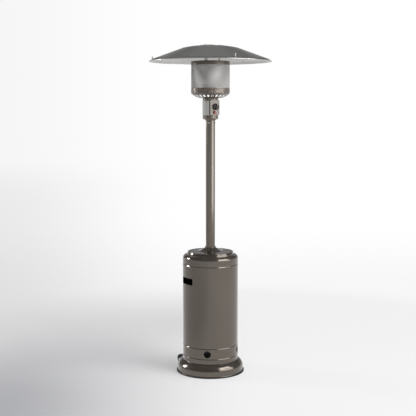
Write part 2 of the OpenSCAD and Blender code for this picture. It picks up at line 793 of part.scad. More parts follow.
module housing_shell() color(bronze) {
    groove_r = lid_r + groove_w;
    path = smooth(concat(
        [[groove_r - lid_seat_w, lid_seat_z, 0], [groove_r, lid_seat_z, groove_round],
            [groove_r + crest_w, crest_z, crest_round], [housing_r, crest_z, shoulder_r]],
        [for (rise = bead_rises) for (share = bead_shares)
            [housing_r + share[0] * bead_out, ledge_z + rise + share[1] * bead_w, bead_round]],
        [[housing_r, ledge_z + housing_lift_gap, 0]]));
    difference() {
        shell(path, sheet_t);
        for (b = slot_bearings) at_bearing(b, housing_r, ledge_z + slot_rise) rotate([90, 0, 90])
            linear_extrude(2 * slot_h, center=true) polygon(slot_outline(slot_w, slot_h, slot_h / 9));
        for (b = vent_bearings) at_bearing(b, housing_r, ledge_z + vent_rise) rotate([0, 90, 0])
            cylinder(d=vent_d, h=vent_d, center=true);
    }
}

module housing_lid() color(bronze) {
    lid_rim_r = lid_r - lid_rim_w;
    shell(smooth([
        [mouth_r, mouth_z, 0], [mouth_r, mouth_z - mouth_h, mouth_round],
        [hub_d / 2, lid_z + lid_fall, hub_d / 2 * hub_round_share],
        [lid_rim_r - crease_w, lid_z - crease_drop, crease_round], [lid_rim_r, lid_z, lid_rim_round],
        [lid_r, crest_z + lid_rise * lid_belly_share, lid_rise * lid_belly_round_share],
        [lid_r, lid_seat_z + seat_gap, 0]], 10), sheet_t);
}

module lid_bushing() color(black) {
    top = mouth_z - bushing_t / 4;
    low = mouth_z - bushing_len;
    lip = bushing_t * bushing_lip_share;
    rotate_extrude() polygon([
        [bushing_bore_r, low], [bushing_r + lip, low], [bushing_r + lip, low + lip],
        [bushing_r, low + 2 * lip], [bushing_r, top - lip / 2], [bushing_r - lip / 2, top],
        [bushing_bore_r, top]]);
}

// Neck and its socket

socket_top_r = 42;
socket_lip = 2;
socket_low_r = pole_r + socket_lip;
socket_wall = 3;
spigot_len = 56;
neck_floor_r = 34;
socket_nut_h = 8;
socket_nut_r = 42;
neck_round = 6;
neck_lip_w = 9;
neck_lip_round = 2;
window_share = 0.76;
lip_screw_share = 0.6;
lip_screw_r = neck_r - lip_screw_share * neck_lip_w;

module neck_tube() color(bronze_hammered) {
    window_w = panel_w * window_share;
    low = igniter_z + bezel_r + panel_t;
    high = panel_mid_z + panel_h / 2 - 2 * panel_screw_inset;
    difference() {
        shell(smooth([
            [neck_r - neck_lip_w, bowl_z, 0], [neck_r, bowl_z, neck_lip_round], [neck_r, neck_z, neck_round],
            [neck_floor_r, neck_z, 0]]), sheet_t);
        facing(neck_r / 2, 0, (low + high) / 2) linear_extrude(neck_r)
            polygon(slot_outline(window_w, high - low, panel_round));
        facing(neck_r / 2, igniter_x, igniter_z) cylinder(r=bezel_r, h=neck_r);
        panel_screw_spots() translate([0, 0, -panel_screw_len])
            cylinder(d=panel_screw_d + 2 * hole_gap, h=panel_screw_len);
        for (b = head_screw_bearings) at_bearing(b, lip_screw_r, bowl_z)
            cylinder(d=head_screw_d + 2 * hole_gap, h=2 * over, center=true);
    }
}

module neck_socket() color(bronze_hammered) {
    spigot_r = pole_r - pole_wall - seat_gap;
    stub_r = neck_floor_r - seat_gap;
    bore_r = spigot_r - socket_wall;
    nut_z = neck_z + sheet_t;
    difference() {
        rotate_extrude() polygon([
            [bore_r, head_z - spigot_len], [spigot_r, head_z - spigot_len], [spigot_r, head_z + seat_gap],
            [socket_low_r, head_z + seat_gap], [socket_top_r, neck_z], [stub_r, neck_z], [stub_r, nut_z],
            [socket_nut_r, nut_z], [socket_nut_r, nut_z + socket_nut_h], [bore_r, nut_z + socket_nut_h]]);
        pole_screw_spots() translate([0, 0, -pole_wall - 3 * socket_wall])
            cylinder(d=pole_screw_d + 2 * hole_gap, h=pole_wall + 3 * socket_wall);
    }
}

// Control panel and what it carries

panel_t = 1.5;
panel_round = 3;
panel_rise = 79.5;
panel_mid_z = neck_z + panel_rise;
knob_rise = 84;
knob_z = neck_z + knob_rise;
panel_screw_d = 4;
panel_screw_len = 9;
panel_screw_inset = 7;
panel_screw_x = 12;
igniter_x = -8;
igniter_rise = 46;
igniter_z = neck_z + igniter_rise;
igniter_body_r = 8.8;
igniter_wall = 0.9;
igniter_back_share = 0.7;
bezel_r = 10;
bezel_h = 6;
valve_boss_r = 7;

module panel_screw_spots() {
    facing(panel_reach, 0, panel_mid_z + panel_h / 2 - panel_screw_inset) children();
    facing(panel_reach, panel_screw_x, panel_mid_z - panel_h / 2 + panel_screw_inset) children();
}

module control_panel() color("#a39b92") {
    back = neck_r / 2;
    difference() {
        facing(back, 0, panel_mid_z) linear_extrude(panel_reach - back)
            polygon(slot_outline(panel_w, panel_h, panel_round));
        facing(back - over, 0, panel_mid_z) linear_extrude(panel_reach - back + over - panel_t)
            polygon(slot_outline(panel_w - 2 * panel_t, panel_h - 2 * panel_t, panel_round / 2));
        translate([0, 0, neck_z]) cylinder(r=neck_r + seat_gap, h=neck_h);
        facing(back, 0, knob_z) cylinder(r=valve_boss_r + hole_gap, h=panel_reach);
        facing(back, igniter_x, igniter_z) cylinder(r=igniter_body_r + seat_gap, h=panel_reach);
        panel_screw_spots() translate([0, 0, -over]) cylinder(d=panel_screw_d + 2 * hole_gap, h=2 * over);
    }
}

module panel_screws() color(silver) { panel_screw_spots() pan_screw(panel_screw_d, panel_screw_len); }

plate_t = 0.8;
side_plate_h = 96;
side_plate_rise = 76;
side_plate_bearings = [-135, -45];

module side_plate() color(silver) {
    inner_r = neck_r + seat_gap;
    at_bearing(side_plate_bearings[0]) rotate_extrude(angle=side_plate_bearings[1] - side_plate_bearings[0])
        translate([inner_r, neck_z + side_plate_rise - side_plate_h / 2]) square([plate_t, side_plate_h]);
}

valve_w = 30;
valve_h = 36;
valve_front = 42;
valve_back = 16;
spindle_r = 3;
knob_back = 62.5;
knob_base_h = 9.5;
knob_grip_h = 17;
knob_grip_w = 9;
knob_grip_share = 0.93;
knob_lean = 10;
knob_cave_r = 13;
knob_cave_h = 7;
spindle_end_share = 0.8;
collar_gap = 0.4;
valve_nut_h = 3;
inlet_x = 10;
inlet_reach = 28;
inlet_r = 7;
inlet_len = 15;
inlet_z = knob_z - valve_h / 2 - inlet_len;
valve_top = knob_z + valve_h / 2;
spindle_play = 6;
valve_nut_share = 1.4;
spindle_collar_h = 2;
knob_round = 1;

module gas_valve() color(brass) {
    boss_end = panel_reach + valve_nut_h;
    nut_bore_r = valve_boss_r + running_gap;
    difference() {
        union() {
            translate([-valve_w / 2, -valve_front, knob_z - valve_h / 2])
                cube([valve_w, valve_front - valve_back, valve_h]);
            facing(valve_front - over, 0, knob_z) cylinder(r=valve_boss_r, h=boss_end - valve_front + over);
            translate([inlet_x, -inlet_reach, inlet_z]) cylinder(r=inlet_r, h=inlet_len + over);
        }
        facing(valve_back + over, 0, knob_z) cylinder(r=spindle_r + running_gap, h=panel_reach);
    }
    facing(panel_reach, 0, knob_z) difference() {
        cylinder(r=valve_boss_r * valve_nut_share, h=valve_nut_h, $fn=6);
        translate([0, 0, -over]) cylinder(r=nut_bore_r, h=valve_nut_h + 2 * over);
    }
}

// The hose's route: past the regulator, counted from the bottle's outlet, up into the pole, counted from
// the leg arms, and out of the pole's top, counted from there, to the gas valve
hose_low = [
    [76, -100, 0], [104, -96, 13], [121, -87, 42], [122, -74, 80], [106, -58, 116], [78, -41, 144],
    [47, -24, 166], [20, -10, 191]];
hose_into_pole = [[5, -2, 12], [0, 0, 50]];
hose_out = [[0, 0, -26], [3, -8, 2], [8, -20, 30]];
hose_route = concat(
    [[barb_end, -regulator_reach, outlet_z]], raised(hose_low, outlet_z), raised(hose_into_pole, arm_z),
    raised(hose_out, head_z), [[inlet_x, -inlet_reach, inlet_z - hose_d], [inlet_x, -inlet_reach, inlet_z]]);
hose_steps = [1, 3, 3, 3, 3, 3, 3, 3, 3, 3, 27, 3, 3, 3, 1];

module gas_hose() color(black) { tube(along(hose_route, hose_steps), hose_d, 10, [0, 1, 0]); }

module valve_spindle() color(steel) {
    start = valve_back + over + spindle_play;
    facing(start, 0, knob_z) cylinder(r=spindle_r, h=knob_back + knob_grip_h * spindle_end_share - start);
}

module spindle_collar() color(brass) {
    facing(knob_back + knob_cave_h - spindle_collar_h - collar_gap, 0, knob_z) difference() {
        cylinder(r=2 * spindle_r, h=spindle_collar_h);
        translate([0, 0, -over]) cylinder(r=spindle_r + running_gap, h=spindle_collar_h + 2 * over);
    }
}

module control_knob() color(black) {
    knob_r = knob_d / 2;
    facing(knob_back, 0, knob_z) rotate([0, 0, -knob_lean]) difference() {
        union() {
            rotate_extrude() polygon(smooth_loop([
                [0, 0, 0], [knob_r, 0, knob_round], [knob_r * 0.95, knob_base_h, knob_round],
                [knob_r * 0.84, knob_base_h, knob_round], [knob_r * 0.75, knob_base_h * 0.8, knob_round],
                [0, knob_base_h * 0.8, 0]]));
            intersection() {
                linear_extrude(knob_grip_h) polygon(slot_outline(knob_grip_w, knob_d, knob_grip_w / 3));
                cylinder(r=knob_r * knob_grip_share, h=knob_grip_h);
            }
        }
        translate([0, 0, -over]) cylinder(r=knob_cave_r, h=over + knob_cave_h);
        translate([0, 0, -over])
            cylinder(r=spindle_r + seat_gap / 2, h=over + knob_grip_h * spindle_end_share + seat_gap);
    }
}

igniter_depth = 50;
button_r = igniter_body_r - igniter_wall - running_gap;
button_proud = 10.5;
button_in = 10;
button_travel = 4.5;
button_spare = 0.5;
button_round = 1.5;
bezel_round = 1;

module igniter_body() color(black) {
    bore_r = button_r + running_gap;
    facing(panel_reach - igniter_depth, igniter_x, igniter_z) difference() {
        union() {
            cylinder(r=igniter_body_r * igniter_back_share, h=igniter_depth / 2);
            translate([0, 0, igniter_depth / 3])
                cylinder(r=igniter_body_r, h=igniter_depth * 2 / 3 + bezel_h / 2);
            translate([0, 0, igniter_depth]) rotate_extrude() polygon(smooth_loop([
                [0, 0, 0], [bezel_r, 0, 0], [bezel_r, bezel_h, bezel_round], [0, bezel_h, 0]]));
        }
        translate([0, 0, igniter_depth - button_in - button_travel - button_spare])
            cylinder(r=bore_r, h=igniter_depth);
    }
}

module igniter_button() color("#b3201c") {
    facing(panel_reach - button_in, igniter_x, igniter_z) rotate_extrude() polygon(smooth_loop([
        [0, 0, 0], [button_r, 0, 0], [button_r, button_in + button_proud, button_round],
        [0, button_in + button_proud, 0]]));
}

switch_size = [20, 12, 26];
switch_at = [-22, 24];

module tilt_switch() color(black) {
    translate([switch_at[0] - switch_size[0] / 2, switch_at[1], neck_z + sheet_t + socket_nut_h])
        cube(switch_size);
}

// Gas pipe, burner and pilot

pipe_d = 8;
jet_drop = 2;
jet_z = bowl_z - jet_drop;
jet_h = 12;
jet_r = 8;
jet_tip_r = 3;
jet_tip_h = 5;
pilot_y = -85;
pilot_x = 12;
thin_d = 4;
electrode_d = 7;
rod_d = 6;
pilot_rise = 8;
pilot_tab = [48, 12];
pilot_hood = [11, 10];
hood_back_share = 0.7;
hood_rise_share = 2.4;
rod_share = 3.4;
spark_d = 2.4;

// Routes from the valve's top to the burner plate, as shares of the pilot's place and of that height
gas_pipe_shares = [[0, 0.33, 0], [0, 0.33, 0.08], [0, 0.16, 0.24], [0, 0, 0.37], [0, 0, 0.44]];
pilot_shares = [
    [0.67, 0.33, 0], [0.67, 0.33, 0.07], [0.75, 0.18, 0.26], [0.67, 0.14, 0.52], [0.5, 0.16, 0.73],
    [0.25, 0.4, 0.85], [0, 0.82, 0.91], [0, 1, 0.95], [0, 1, 1]];
thermocouple_shares = [
    [1, 0.24, 0], [1, 0.24, 0.05], [1.25, 0.16, 0.26], [1.1, 0.12, 0.52], [1.17, 0.16, 0.73],
    [1.17, 0.42, 0.87], [1, 0.82, 0.92], [1, 1, 0.96], [1, 1, 1]];
lead_shares = [
    [-1.08, -0.04, -0.54], [-1.33, -0.07, -0.24], [-1.08, -0.02, 0.15], [-1, 0.05, 0.5], [-1, 0.14, 0.71],
    [-1, 0.42, 0.8], [-1, 0.85, 0.8], [-1, 1, 0.84]];
function head_route(shares) =
    [for (s = shares) [s[0] * pilot_x, s[1] * pilot_y, valve_top + s[2] * (plate_z - valve_top)]];

module gas_pipe() color("#b5733f") {
    tube(along(head_route(gas_pipe_shares), [1, 5, 5, 1]), pipe_d, 12, [1, 0, 0]);
    translate([0, 0, jet_z]) cylinder(r=jet_r, h=jet_h, $fn=6);
    translate([0, 0, jet_z + jet_h / 2]) cylinder(r=jet_tip_r, h=jet_h / 2 + jet_tip_h);
}

jet_gap = 3;
venturi_r = 9.5;
venturi_low_z = jet_z + jet_h + jet_tip_h + jet_gap;
drum_r = 55;
drum_h = 38;
port_count = 24;
port_w = 5;
plate_hole_count = 36;
plate_hole_d = 6;
plate_hole_share = 0.78;

module burner_head() color("#8f8d88") {
    drum_z = plate_z + sheet_t;
    skin = [[0, drum_z + drum_h * 1.15], [drum_r * 0.6, drum_z + drum_h * 1.1], [drum_r, drum_z + drum_h],
        [drum_r, drum_z + sheet_t]];
    difference() {
        rotate_extrude() polygon(concat(
            [[venturi_r - sheet_t, venturi_low_z], [venturi_r, venturi_low_z], [venturi_r, drum_z],
                [drum_r * 1.1, drum_z], [drum_r * 1.1, drum_z + sheet_t]],
            reversed(skin), inset(skin, sheet_t), [[venturi_r - sheet_t, drum_z + sheet_t]]));
        for (k = [0:port_count - 1]) at_bearing(360 * k / port_count, drum_r, drum_z + drum_h / 2)
            rotate([0, 90, 0]) linear_extrude(2 * over, center=true) stadium(drum_h / 2, port_w);
    }
}

module burner_plate() color("#8f8d88") {
    plate_r = band_r - sheet_t - seat_gap;
    difference() {
        translate([0, 0, plate_z]) cylinder(r=plate_r, h=sheet_t);
        translate([0, 0, plate_z - over]) cylinder(r=venturi_r + hole_gap, h=2 * over);
        for (x = [-pilot_x, 0, pilot_x]) translate([x, pilot_y, plate_z - over])
            cylinder(d=electrode_d + 2 * hole_gap, h=2 * over);
        for (k = [1:plate_hole_count])
            at_bearing(360 * k / plate_hole_count, plate_r * plate_hole_share, plate_z)
            cylinder(d=plate_hole_d, h=3 * over, center=true);
    }
}

module pilot_burner() color("#9a9893") {
    tube(along(head_route(pilot_shares), [1, 3, 3, 3, 3, 3, 3, 2]), thin_d, 8, [1, 0, 0]);
    translate([0, pilot_y, plate_z + sheet_t]) {
        difference() {
            translate([-pilot_tab[0] / 2, -pilot_tab[1] / 2, 0]) cube([pilot_tab[0], pilot_tab[1], sheet_t]);
            translate([0, 0, -over]) cylinder(d=thin_d / 2, h=3 * over);
            for (side = [-1, 1]) translate([side * pilot_x, 0, -over])
                cylinder(d=electrode_d + 2 * hole_gap, h=3 * over);
        }
        cylinder(d=electrode_d, h=3 * pilot_rise);
        translate([-pilot_hood[0] / 2, -hood_back_share * pilot_hood[1], hood_rise_share * pilot_rise])
            cube([pilot_hood[0], pilot_hood[1], sheet_t]);
    }
}

module thermocouple() color("#b5733f") {
    tube(along(head_route(thermocouple_shares), [1, 3, 3, 3, 3, 3, 3, 2]), thin_d, 8, [1, 0, 0]);
    translate([pilot_x, pilot_y, plate_z]) cylinder(d=rod_d, h=rod_share * pilot_rise);
}

module ignition_electrode() color("#e8e4d8") {
    translate([-pilot_x, pilot_y, plate_z - pilot_rise]) {
        cylinder(d=rod_d, h=4 * pilot_rise);
        translate([0, 0, 4 * pilot_rise - spark_d]) cylinder(d=spark_d, h=pilot_rise);
    }
}

module ignition_lead() color("#8a1c1c") {
    start = panel_reach - igniter_depth;
    foot = [[igniter_x, -start, igniter_z], [igniter_x, thin_d - start, igniter_z]];
    top = [[-pilot_x, pilot_y, plate_z - pilot_rise]];
    route = concat(foot, head_route(lead_shares), top);
    tube(along(route, [1, 3, 3, 3, 3, 3, 3, 3, 3, 1]), thin_d, 8, [1, 0, 0]);
}

// Burner shells

bowl_floor_r = 76.8;
bowl_hole_r = 24;
bowl_lap = 1;
bowl_bulge_share = 0.06;
slot_in_share = 0.27;
slot_out_share = 0.86;
air_slot_w = 15;
head_screw_d = 4;
head_screw_len = 6;
band_screw_drop = 20;

module head_screw_spots() {
    for (b = head_screw_bearings) {
        at_bearing(b, band_r, band_top_z - band_screw_drop) rotate([0, 90, 0]) children();
        at_bearing(b, lip_screw_r, bowl_z + sheet_t) children();
    }
}

module burner_bowl() color(bronze_hammered) {
    wall_r = band_r - sheet_t - seat_gap;
    slot_in = bowl_floor_r + (wall_r - bowl_floor_r) * slot_in_share;
    slot_out = bowl_floor_r + (wall_r - bowl_floor_r) * slot_out_share;
    difference() {
        shell(concat(
            [[wall_r, plate_z]],
            bulge([wall_r, band_z - bowl_lap], [bowl_floor_r, bowl_z], bowl_bulge_share, 5),
            [[bowl_hole_r, bowl_z]]), sheet_t);
        for (k = [0:slot_count - 1]) at_bearing(bowl_slot_turn + 360 * k / slot_count)
            translate([(slot_in + slot_out) / 2, 0, bowl_z - over]) linear_extrude(bowl_h + 2 * over)
                stadium(slot_out - slot_in, air_slot_w);
        head_screw_spots() translate([0, 0, -head_screw_len])
            cylinder(d=head_screw_d + 2 * hole_gap, h=head_screw_len + over);
    }
}

module burner_band() color(bronze_hammered) {
    difference() {
        shell([[band_r, band_top_z], [band_r, band_z]], sheet_t);
        head_screw_spots() translate([0, 0, -head_screw_len])
            cylinder(d=head_screw_d + 2 * hole_gap, h=head_screw_len + over);
    }
}

module head_screws() color(silver) { head_screw_spots() pan_screw(head_screw_d, head_screw_len); }

screen_t = 0.8;
screen_r = band_r - sheet_t - seat_gap;

module emitter_screen() color("#a9a7a3") {
    shell([[screen_r, cap_top_z - 3 * sheet_t], [screen_r, plate_z + sheet_t + seat_gap]], screen_t);
}

cap_round = 2.5;
cap_bead_out = 1.6;
cap_bead_round = 1.5;
cap_bead_shares = [[0, 0.62], [1, 0.5], [0, 0.38]];

module top_cap() color("#4d4540") {
    cap_r = screen_r + seat_gap + sheet_t;
    difference() {
        shell(smooth(concat(
            [[0, cap_top_z, 0], [cap_r, cap_top_z, cap_round]],
            [for (share = cap_bead_shares)
                [cap_r + share[0] * cap_bead_out, cap_z + share[1] * cap_h, cap_bead_round]],
            [[cap_r, cap_z, 0]])), sheet_t);
        standoff_spots() translate([0, 0, -over]) cylinder(d=stud_d + 2 * hole_gap, h=2 * over);
    }
}

// Reflector

standoff_r = 60;
standoff_af = 9;
stud_d = 5;
stud_len = 10;
crown_rise = 20.5;
crown_hole_r = 30;
rim_w = 18.4;
rim_drop = 14;
crown_over_standoffs = 3.5;
crown_z = cap_top_z + standoff_len + crown_over_standoffs;
knuckle_z = crown_z - crown_rise;
cone_foot_r = dish_r - rim_w;
cone_foot_z = knuckle_z - cone_drop;
cone_slope = atan(cone_drop / (cone_foot_r - crown_r));
crown_sphere_r = (pow(crown_r, 2) + pow(crown_rise, 2)) / (2 * crown_rise);
lap_turn = 3.4;
lap_gap = 0.1;
panel_gap_turn = 0.05;
joggle_turn = 1;
// How far the joggle's own skin lies inside the sheets that it joins
sliver = 0.02;
crown_plate_r = 94;
crown_plate_t = 1;
seam_bolt_inset = 24;
seam_bolt_d = 5;
seam_nut_h = 22;
seam_nut_r = 4.8;
seam_head_h = 3;
seam_head_round = 1;

// Height of the crown's outer skin at radius r
function crown_skin(r) = crown_z - crown_sphere_r + sqrt(pow(crown_sphere_r, 2) - r * r);
function crown_path(r0, r1, up) = [for (i = [0:8]) let(r = r0 + (r1 - r0) * i / 8) [r, crown_skin(r) + up]];

rim_shares = [[0, 0], [0.36, 0.5], [0.95, 0.82], [1, 0.93], [1, 1]];
dish_path = concat(
    crown_path(crown_hole_r, crown_r, 0),
    [for (share = rim_shares) [cone_foot_r + share[0] * rim_w, cone_foot_z - share[1] * rim_drop]]);

module standoff_spots() {
    for (b = seam_bearings) at_bearing(b + 60 + lap_turn / 2, standoff_r, cap_top_z) children();
}

module standoffs() color(silver) {
    top = crown_skin(standoff_r + standoff_af / 2) - dish_t - 2 * lap_gap;
    standoff_spots() difference() {
        union() {
            cylinder(d=standoff_af / cos(30), h=top - cap_top_z, $fn=6);
            translate([0, 0, -stud_len]) cylinder(d=stud_d, h=stud_len + over);
            translate([0, 0, -sheet_t - stud_d * nut_share])
                cylinder(d=stud_d * hex_share, h=stud_d * nut_share, $fn=6);
        }
        translate([0, 0, top - cap_top_z - 2 * stud_len]) cylinder(d=stud_d + 2 * seat_gap, h=3 * stud_len);
    }
}

module seam_spots() {
    at = cone_foot_r - (seam_bolt_inset - rim_w);
    for (b = seam_bearings) at_bearing(b, at, knuckle_z - (at - crown_r) * tan(cone_slope))
        rotate([0, cone_slope, 0]) children();
}

// One third of the dish; the lap under the next panel is joggled in by its sheet
module reflector_panel(k) color("#b4b3b0") {
    seam = seam_bearings[k] + lap_turn / 2;
    lapped = inset(dish_path, dish_t + lap_gap);
    joggle = concat(
        inner_of(inset(dish_path, sliver)), reversed(inner_of(inset(lapped, dish_t + sliver))));
    difference() {
        union() {
            at_bearing(seam - lap_turn) shell_sector(lapped, dish_t, lap_turn + joggle_turn);
            at_bearing(seam + 2 * panel_gap_turn) rotate_extrude(angle=joggle_turn) polygon(joggle);
            at_bearing(seam + panel_gap_turn) shell_sector(dish_path, dish_t, 120 - panel_gap_turn);
        }
        seam_spots() cylinder(d=seam_bolt_d + 2 * hole_gap, h=8 * over, center=true);
        standoff_spots() cylinder(d=stud_d + 2 * hole_gap, h=3 * standoff_len);
    }
}

module reflector_panel_right() { reflector_panel(0); }
module reflector_panel_rear() { reflector_panel(1); }
module reflector_panel_left() { reflector_panel(2); }

module crown_plate() color("#b4b3b0") {
    difference() {
        shell(crown_path(0, crown_plate_r, crown_plate_t + lap_gap), crown_plate_t);
        standoff_spots() cylinder(d=stud_d + 2 * hole_gap, h=3 * standoff_len);
    }
}

module crown_screws() color(silver) {
    standoff_spots() translate([0, 0, crown_skin(standoff_r - stud_d) + crown_plate_t + lap_gap - cap_top_z])
        pan_screw(stud_d, stud_len);
}

module seam_bolts() color(silver) {
    low = -2 * dish_t - lap_gap * 2;
    seam_spots() {
        rotate_extrude() polygon(smooth_loop([
            [0, low - seam_head_h, 0], [seam_nut_r, low - seam_head_h, seam_head_round], [seam_nut_r, low, 0],
            [seam_bolt_d / 2, low, 0], [seam_bolt_d / 2, lap_gap, 0], [seam_nut_r, lap_gap, 0],
            [seam_nut_r, seam_nut_h, seam_nut_r * 0.8], [0, seam_nut_h, 0]]));
    }
}

base_skirt();
base_edge_trim();
base_weight();
leg_rear();
leg_left();
leg_right();
leg_foot_bolts();
leg_pole_bolts();
pole();
wheel_bracket();
wheel_bracket_bolts();
wheel_axle();
axle_caps();
wheel_left();
wheel_right();
gas_bottle();
bottle_collar();
bottle_valve();
bottle_handwheel();
coupling_nut();
gas_regulator();
gas_hose();
bottle_strap();
strap_buckle();
housing_shell();
housing_lid();
lid_bushing();
neck_tube();
neck_socket();
pole_screws();
control_panel();
panel_screws();
side_plate();
gas_valve();
valve_spindle();
spindle_collar();
control_knob();
igniter_body();
igniter_button();
tilt_switch();
gas_pipe();
burner_head();
burner_plate();
pilot_burner();
thermocouple();
ignition_electrode();
ignition_lead();
burner_bowl();
burner_band();
head_screws();
emitter_screen();
top_cap();
standoffs();
reflector_panel_left();
reflector_panel_right();
reflector_panel_rear();
crown_plate();
crown_screws();
seam_bolts();
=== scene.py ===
"""Dresses a propane patio heater: its finishes, emitter screen, gas hose, small pieces and the stage."""

import json
import math

import bpy
from bpy.props import FloatProperty, FloatVectorProperty, IntProperty, PointerProperty
from bpy.types import Operator, Panel, PropertyGroup
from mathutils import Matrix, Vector


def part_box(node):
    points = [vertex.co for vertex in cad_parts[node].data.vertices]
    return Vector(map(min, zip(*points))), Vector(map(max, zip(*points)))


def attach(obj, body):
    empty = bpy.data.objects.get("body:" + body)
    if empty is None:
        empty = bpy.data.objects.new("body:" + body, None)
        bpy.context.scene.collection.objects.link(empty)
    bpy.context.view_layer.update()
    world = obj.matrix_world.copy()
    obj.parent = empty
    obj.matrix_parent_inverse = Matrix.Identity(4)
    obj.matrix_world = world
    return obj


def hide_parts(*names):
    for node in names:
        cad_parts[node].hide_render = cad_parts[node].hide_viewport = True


bl_info = {
    "name": "Patio Heater Dresser",
    "version": (1, 0, 0),
    "blender": (4, 5, 0),
    "location": "3D View > Sidebar > Heater",
    "description": "Gives a propane patio heater its finishes, screen, gas hose, small pieces and stage",
    "category": "Object",
}

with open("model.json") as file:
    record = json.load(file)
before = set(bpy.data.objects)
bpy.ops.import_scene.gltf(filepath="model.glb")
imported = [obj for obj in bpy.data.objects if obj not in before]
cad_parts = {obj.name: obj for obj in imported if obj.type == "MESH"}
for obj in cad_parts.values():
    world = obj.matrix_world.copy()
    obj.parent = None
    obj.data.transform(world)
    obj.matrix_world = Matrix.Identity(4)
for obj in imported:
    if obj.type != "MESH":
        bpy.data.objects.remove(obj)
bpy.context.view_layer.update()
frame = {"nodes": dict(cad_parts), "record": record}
nodes = frame["nodes"]

MM = 0.001

# Emitter screen: its sheet, and the share of a tile's size within which points merge
SCREEN_SHEET = 0.8 * MM
MERGE_SHARE = 0.01

# Knob's pointer: its lean in degrees, and its middle and length as shares of the knob's radius
KNOB_LEAN = 10.0
POINTER_PLACE = 0.62
POINTER_LENGTH = 0.42
POINTER_T = 0.5 * MM
POINTER_EDGE = 0.2 * MM

# Wheels: a rib's length is a share of the wheel's width
RIB_SHARE = 0.72

# Housing's rear seam: how far the beads stand out from the shell, and the stretches between them
BEAD_OUT = 1.9 * MM
SEAM_SPANS = ((2 * MM, 25 * MM), (37 * MM, 97 * MM), (109 * MM, 661 * MM), (673 * MM, 708 * MM))
SEAM_EDGE = 0.6  # bevel's width as a share of the lap's thickness

# Gas hose: the route's points are those of the part's source, in mm
HOSE_ROUTE = ((58, -100, 450), (76, -100, 450), (104, -96, 463), (121, -87, 492), (122, -74, 530),
              (106, -58, 566), (78, -41, 594), (47, -24, 616), (20, -10, 641), (5, -2, 672), (0, 0, 710),
              (0, 0, 1720), (3, -8, 1748), (8, -20, 1776), (10, -28, 1793), (10, -28, 1806))
HOSE_R = 6.5 * MM

# Hose clamps: the middle of each and how far it leans from upright, in degrees
CLAMPS = {
    "hose_clamp_low": ((0.067, -0.100, 0.450), 90.0),
    "hose_clamp_top": ((0.010, -0.028, 1.7995), 0.0),
}
CLAMP_PLAY = 0.3 * MM
BAND_T = 0.8 * MM
SCREW_BLOCK = (5 * MM, 10 * MM)
SCREW_BLOCK_OUT = 3 * MM
SCREW_BLOCK_EDGE = 0.6 * MM
SCREW_R = 2.8 * MM
SCREW_HEAD = 4 * MM
SCREW_OUT = 7 * MM

# Finishes: how rolled lines and rub marks are stretched, and the radius of the strap round the bottle
COAT_ROUGHNESS = 0.06
ROLLED = (1.0, 1.0, 60.0)
RUBBED = (1.0, 1.0, 0.25)
STRAP_R = 0.16

# Smoothing angles of plain and of round pieces
SMOOTH_PLAIN = 30.0
SMOOTH_ROUND = 60.0

# Camera: angles are in degrees, and bearings run from -Y towards +X
BEARING = -35.6
DISTANCE = 6.274
EYE_HEIGHT = 1.801
PITCH = -5.98
YAW = 0.153
IMAGE_WIDTH = 416
FOCAL_PIXELS = 912.0
SENSOR_WIDTH = 36.0

# Studio: its plain light, and the walls and ceiling that mirrors see; a ceiling's pair is a rise and a grey
AMBIENT = 0.56
SIDE_WALL = 0.60
BACK_WALL = (0.68, 0.98)
CEILING = ((0.04, 1.0), (0.10, 0.10), (0.20, 0.36), (0.33, 0.24), (0.46, 0.08), (0.62, 0.31), (0.80, 0.24))

# White that the camera sees: the painted shade that dims it to the left, far away and near, and how far
# aside that runs
LEFT_PAINTED_SHADE = (0.08, 0.18)
LEFT_FADE = (0.02, 0.24)

# Floor: a pair of places is where a change runs, in metres to the right, towards the camera or all round
FLOOR_RADIUS = 60.0
FLOOR_GREY = (0.78, 0.78, 0.79)
# painted shade: the grey that the floor's colour darkens to, to the left in front of the heater
FLOOR_PAINTED_SHADE = (0.355, 0.36, 0.39)
PAINTED_SHADE_RIGHT = (-0.1, -1.5)
PAINTED_SHADE_FORWARD = (-2.2, 1.6)
# painted shade: the white glow is weaker near the heater
FLOOR_NEAR = 0.90  # strength of the white near the heater
# painted light: the white glow's share to the heater's right, where the right lamps fall
FLOOR_PAINTED_LIGHT = 0.86  # share of white to the heater's right
FLOOR_MIRRORED = 0.8  # share of white in mirrors
WHITE_ROUND = (0.9, 3.4)
PAINTED_LIGHT_RIGHT = (-0.35, 0.35)
# where the painted shade on the white glow runs, towards the camera
LEFT_SHADE_FORWARD = (-30.0, -8.0)
NEAR_SHADE_FORWARD = (-9.0, 0.5)
SHADE_END_FORWARD = (7.0, 1.2)
LEAST_REACH = 1.0  # nearest that the floor counts as being to the camera

# Lamps: distances, heights and sizes in metres, power in watts
LAMPS = {
    "right low box": {"bearing": BEARING + 60, "distance": 3.6, "height": 1.5, "width": 3.6, "tall": 1.6,
                      "power": 56.0, "aim_height": 1.5},
    "right high box": {"bearing": BEARING + 60, "distance": 3.6, "height": 3.3, "width": 3.2, "tall": 1.4,
                       "power": 84.0, "aim_height": 0.6},
    "left strip": {"bearing": BEARING - 107, "distance": 7.0, "height": 2.5, "width": 1.4, "tall": 1.8,
                   "power": 3.6, "aim_height": 0.1, "spread": 18.0},
    "left fill": {"bearing": BEARING - 107, "distance": 7.0, "height": 3.1, "width": 1.6, "tall": 3.0,
                  "power": 120.0, "aim_height": 3.1},
}


# Settings


def colour_property(name, description, default):
    """A colour that a user may change."""
    return FloatVectorProperty(name=name, description=description, subtype="COLOR", size=3,
                               min=0.0, max=1.0, default=default)


def length_property(name, description, default, low, high):
    """A length that a user may change."""
    return FloatProperty(name=name, description=description, subtype="DISTANCE", unit="LENGTH",
                         default=default, min=low, max=high)


def count_property(name, description, default, low, high):
    """A count that a user may change."""
    return IntProperty(name=name, description=description, default=default, min=low, max=high)


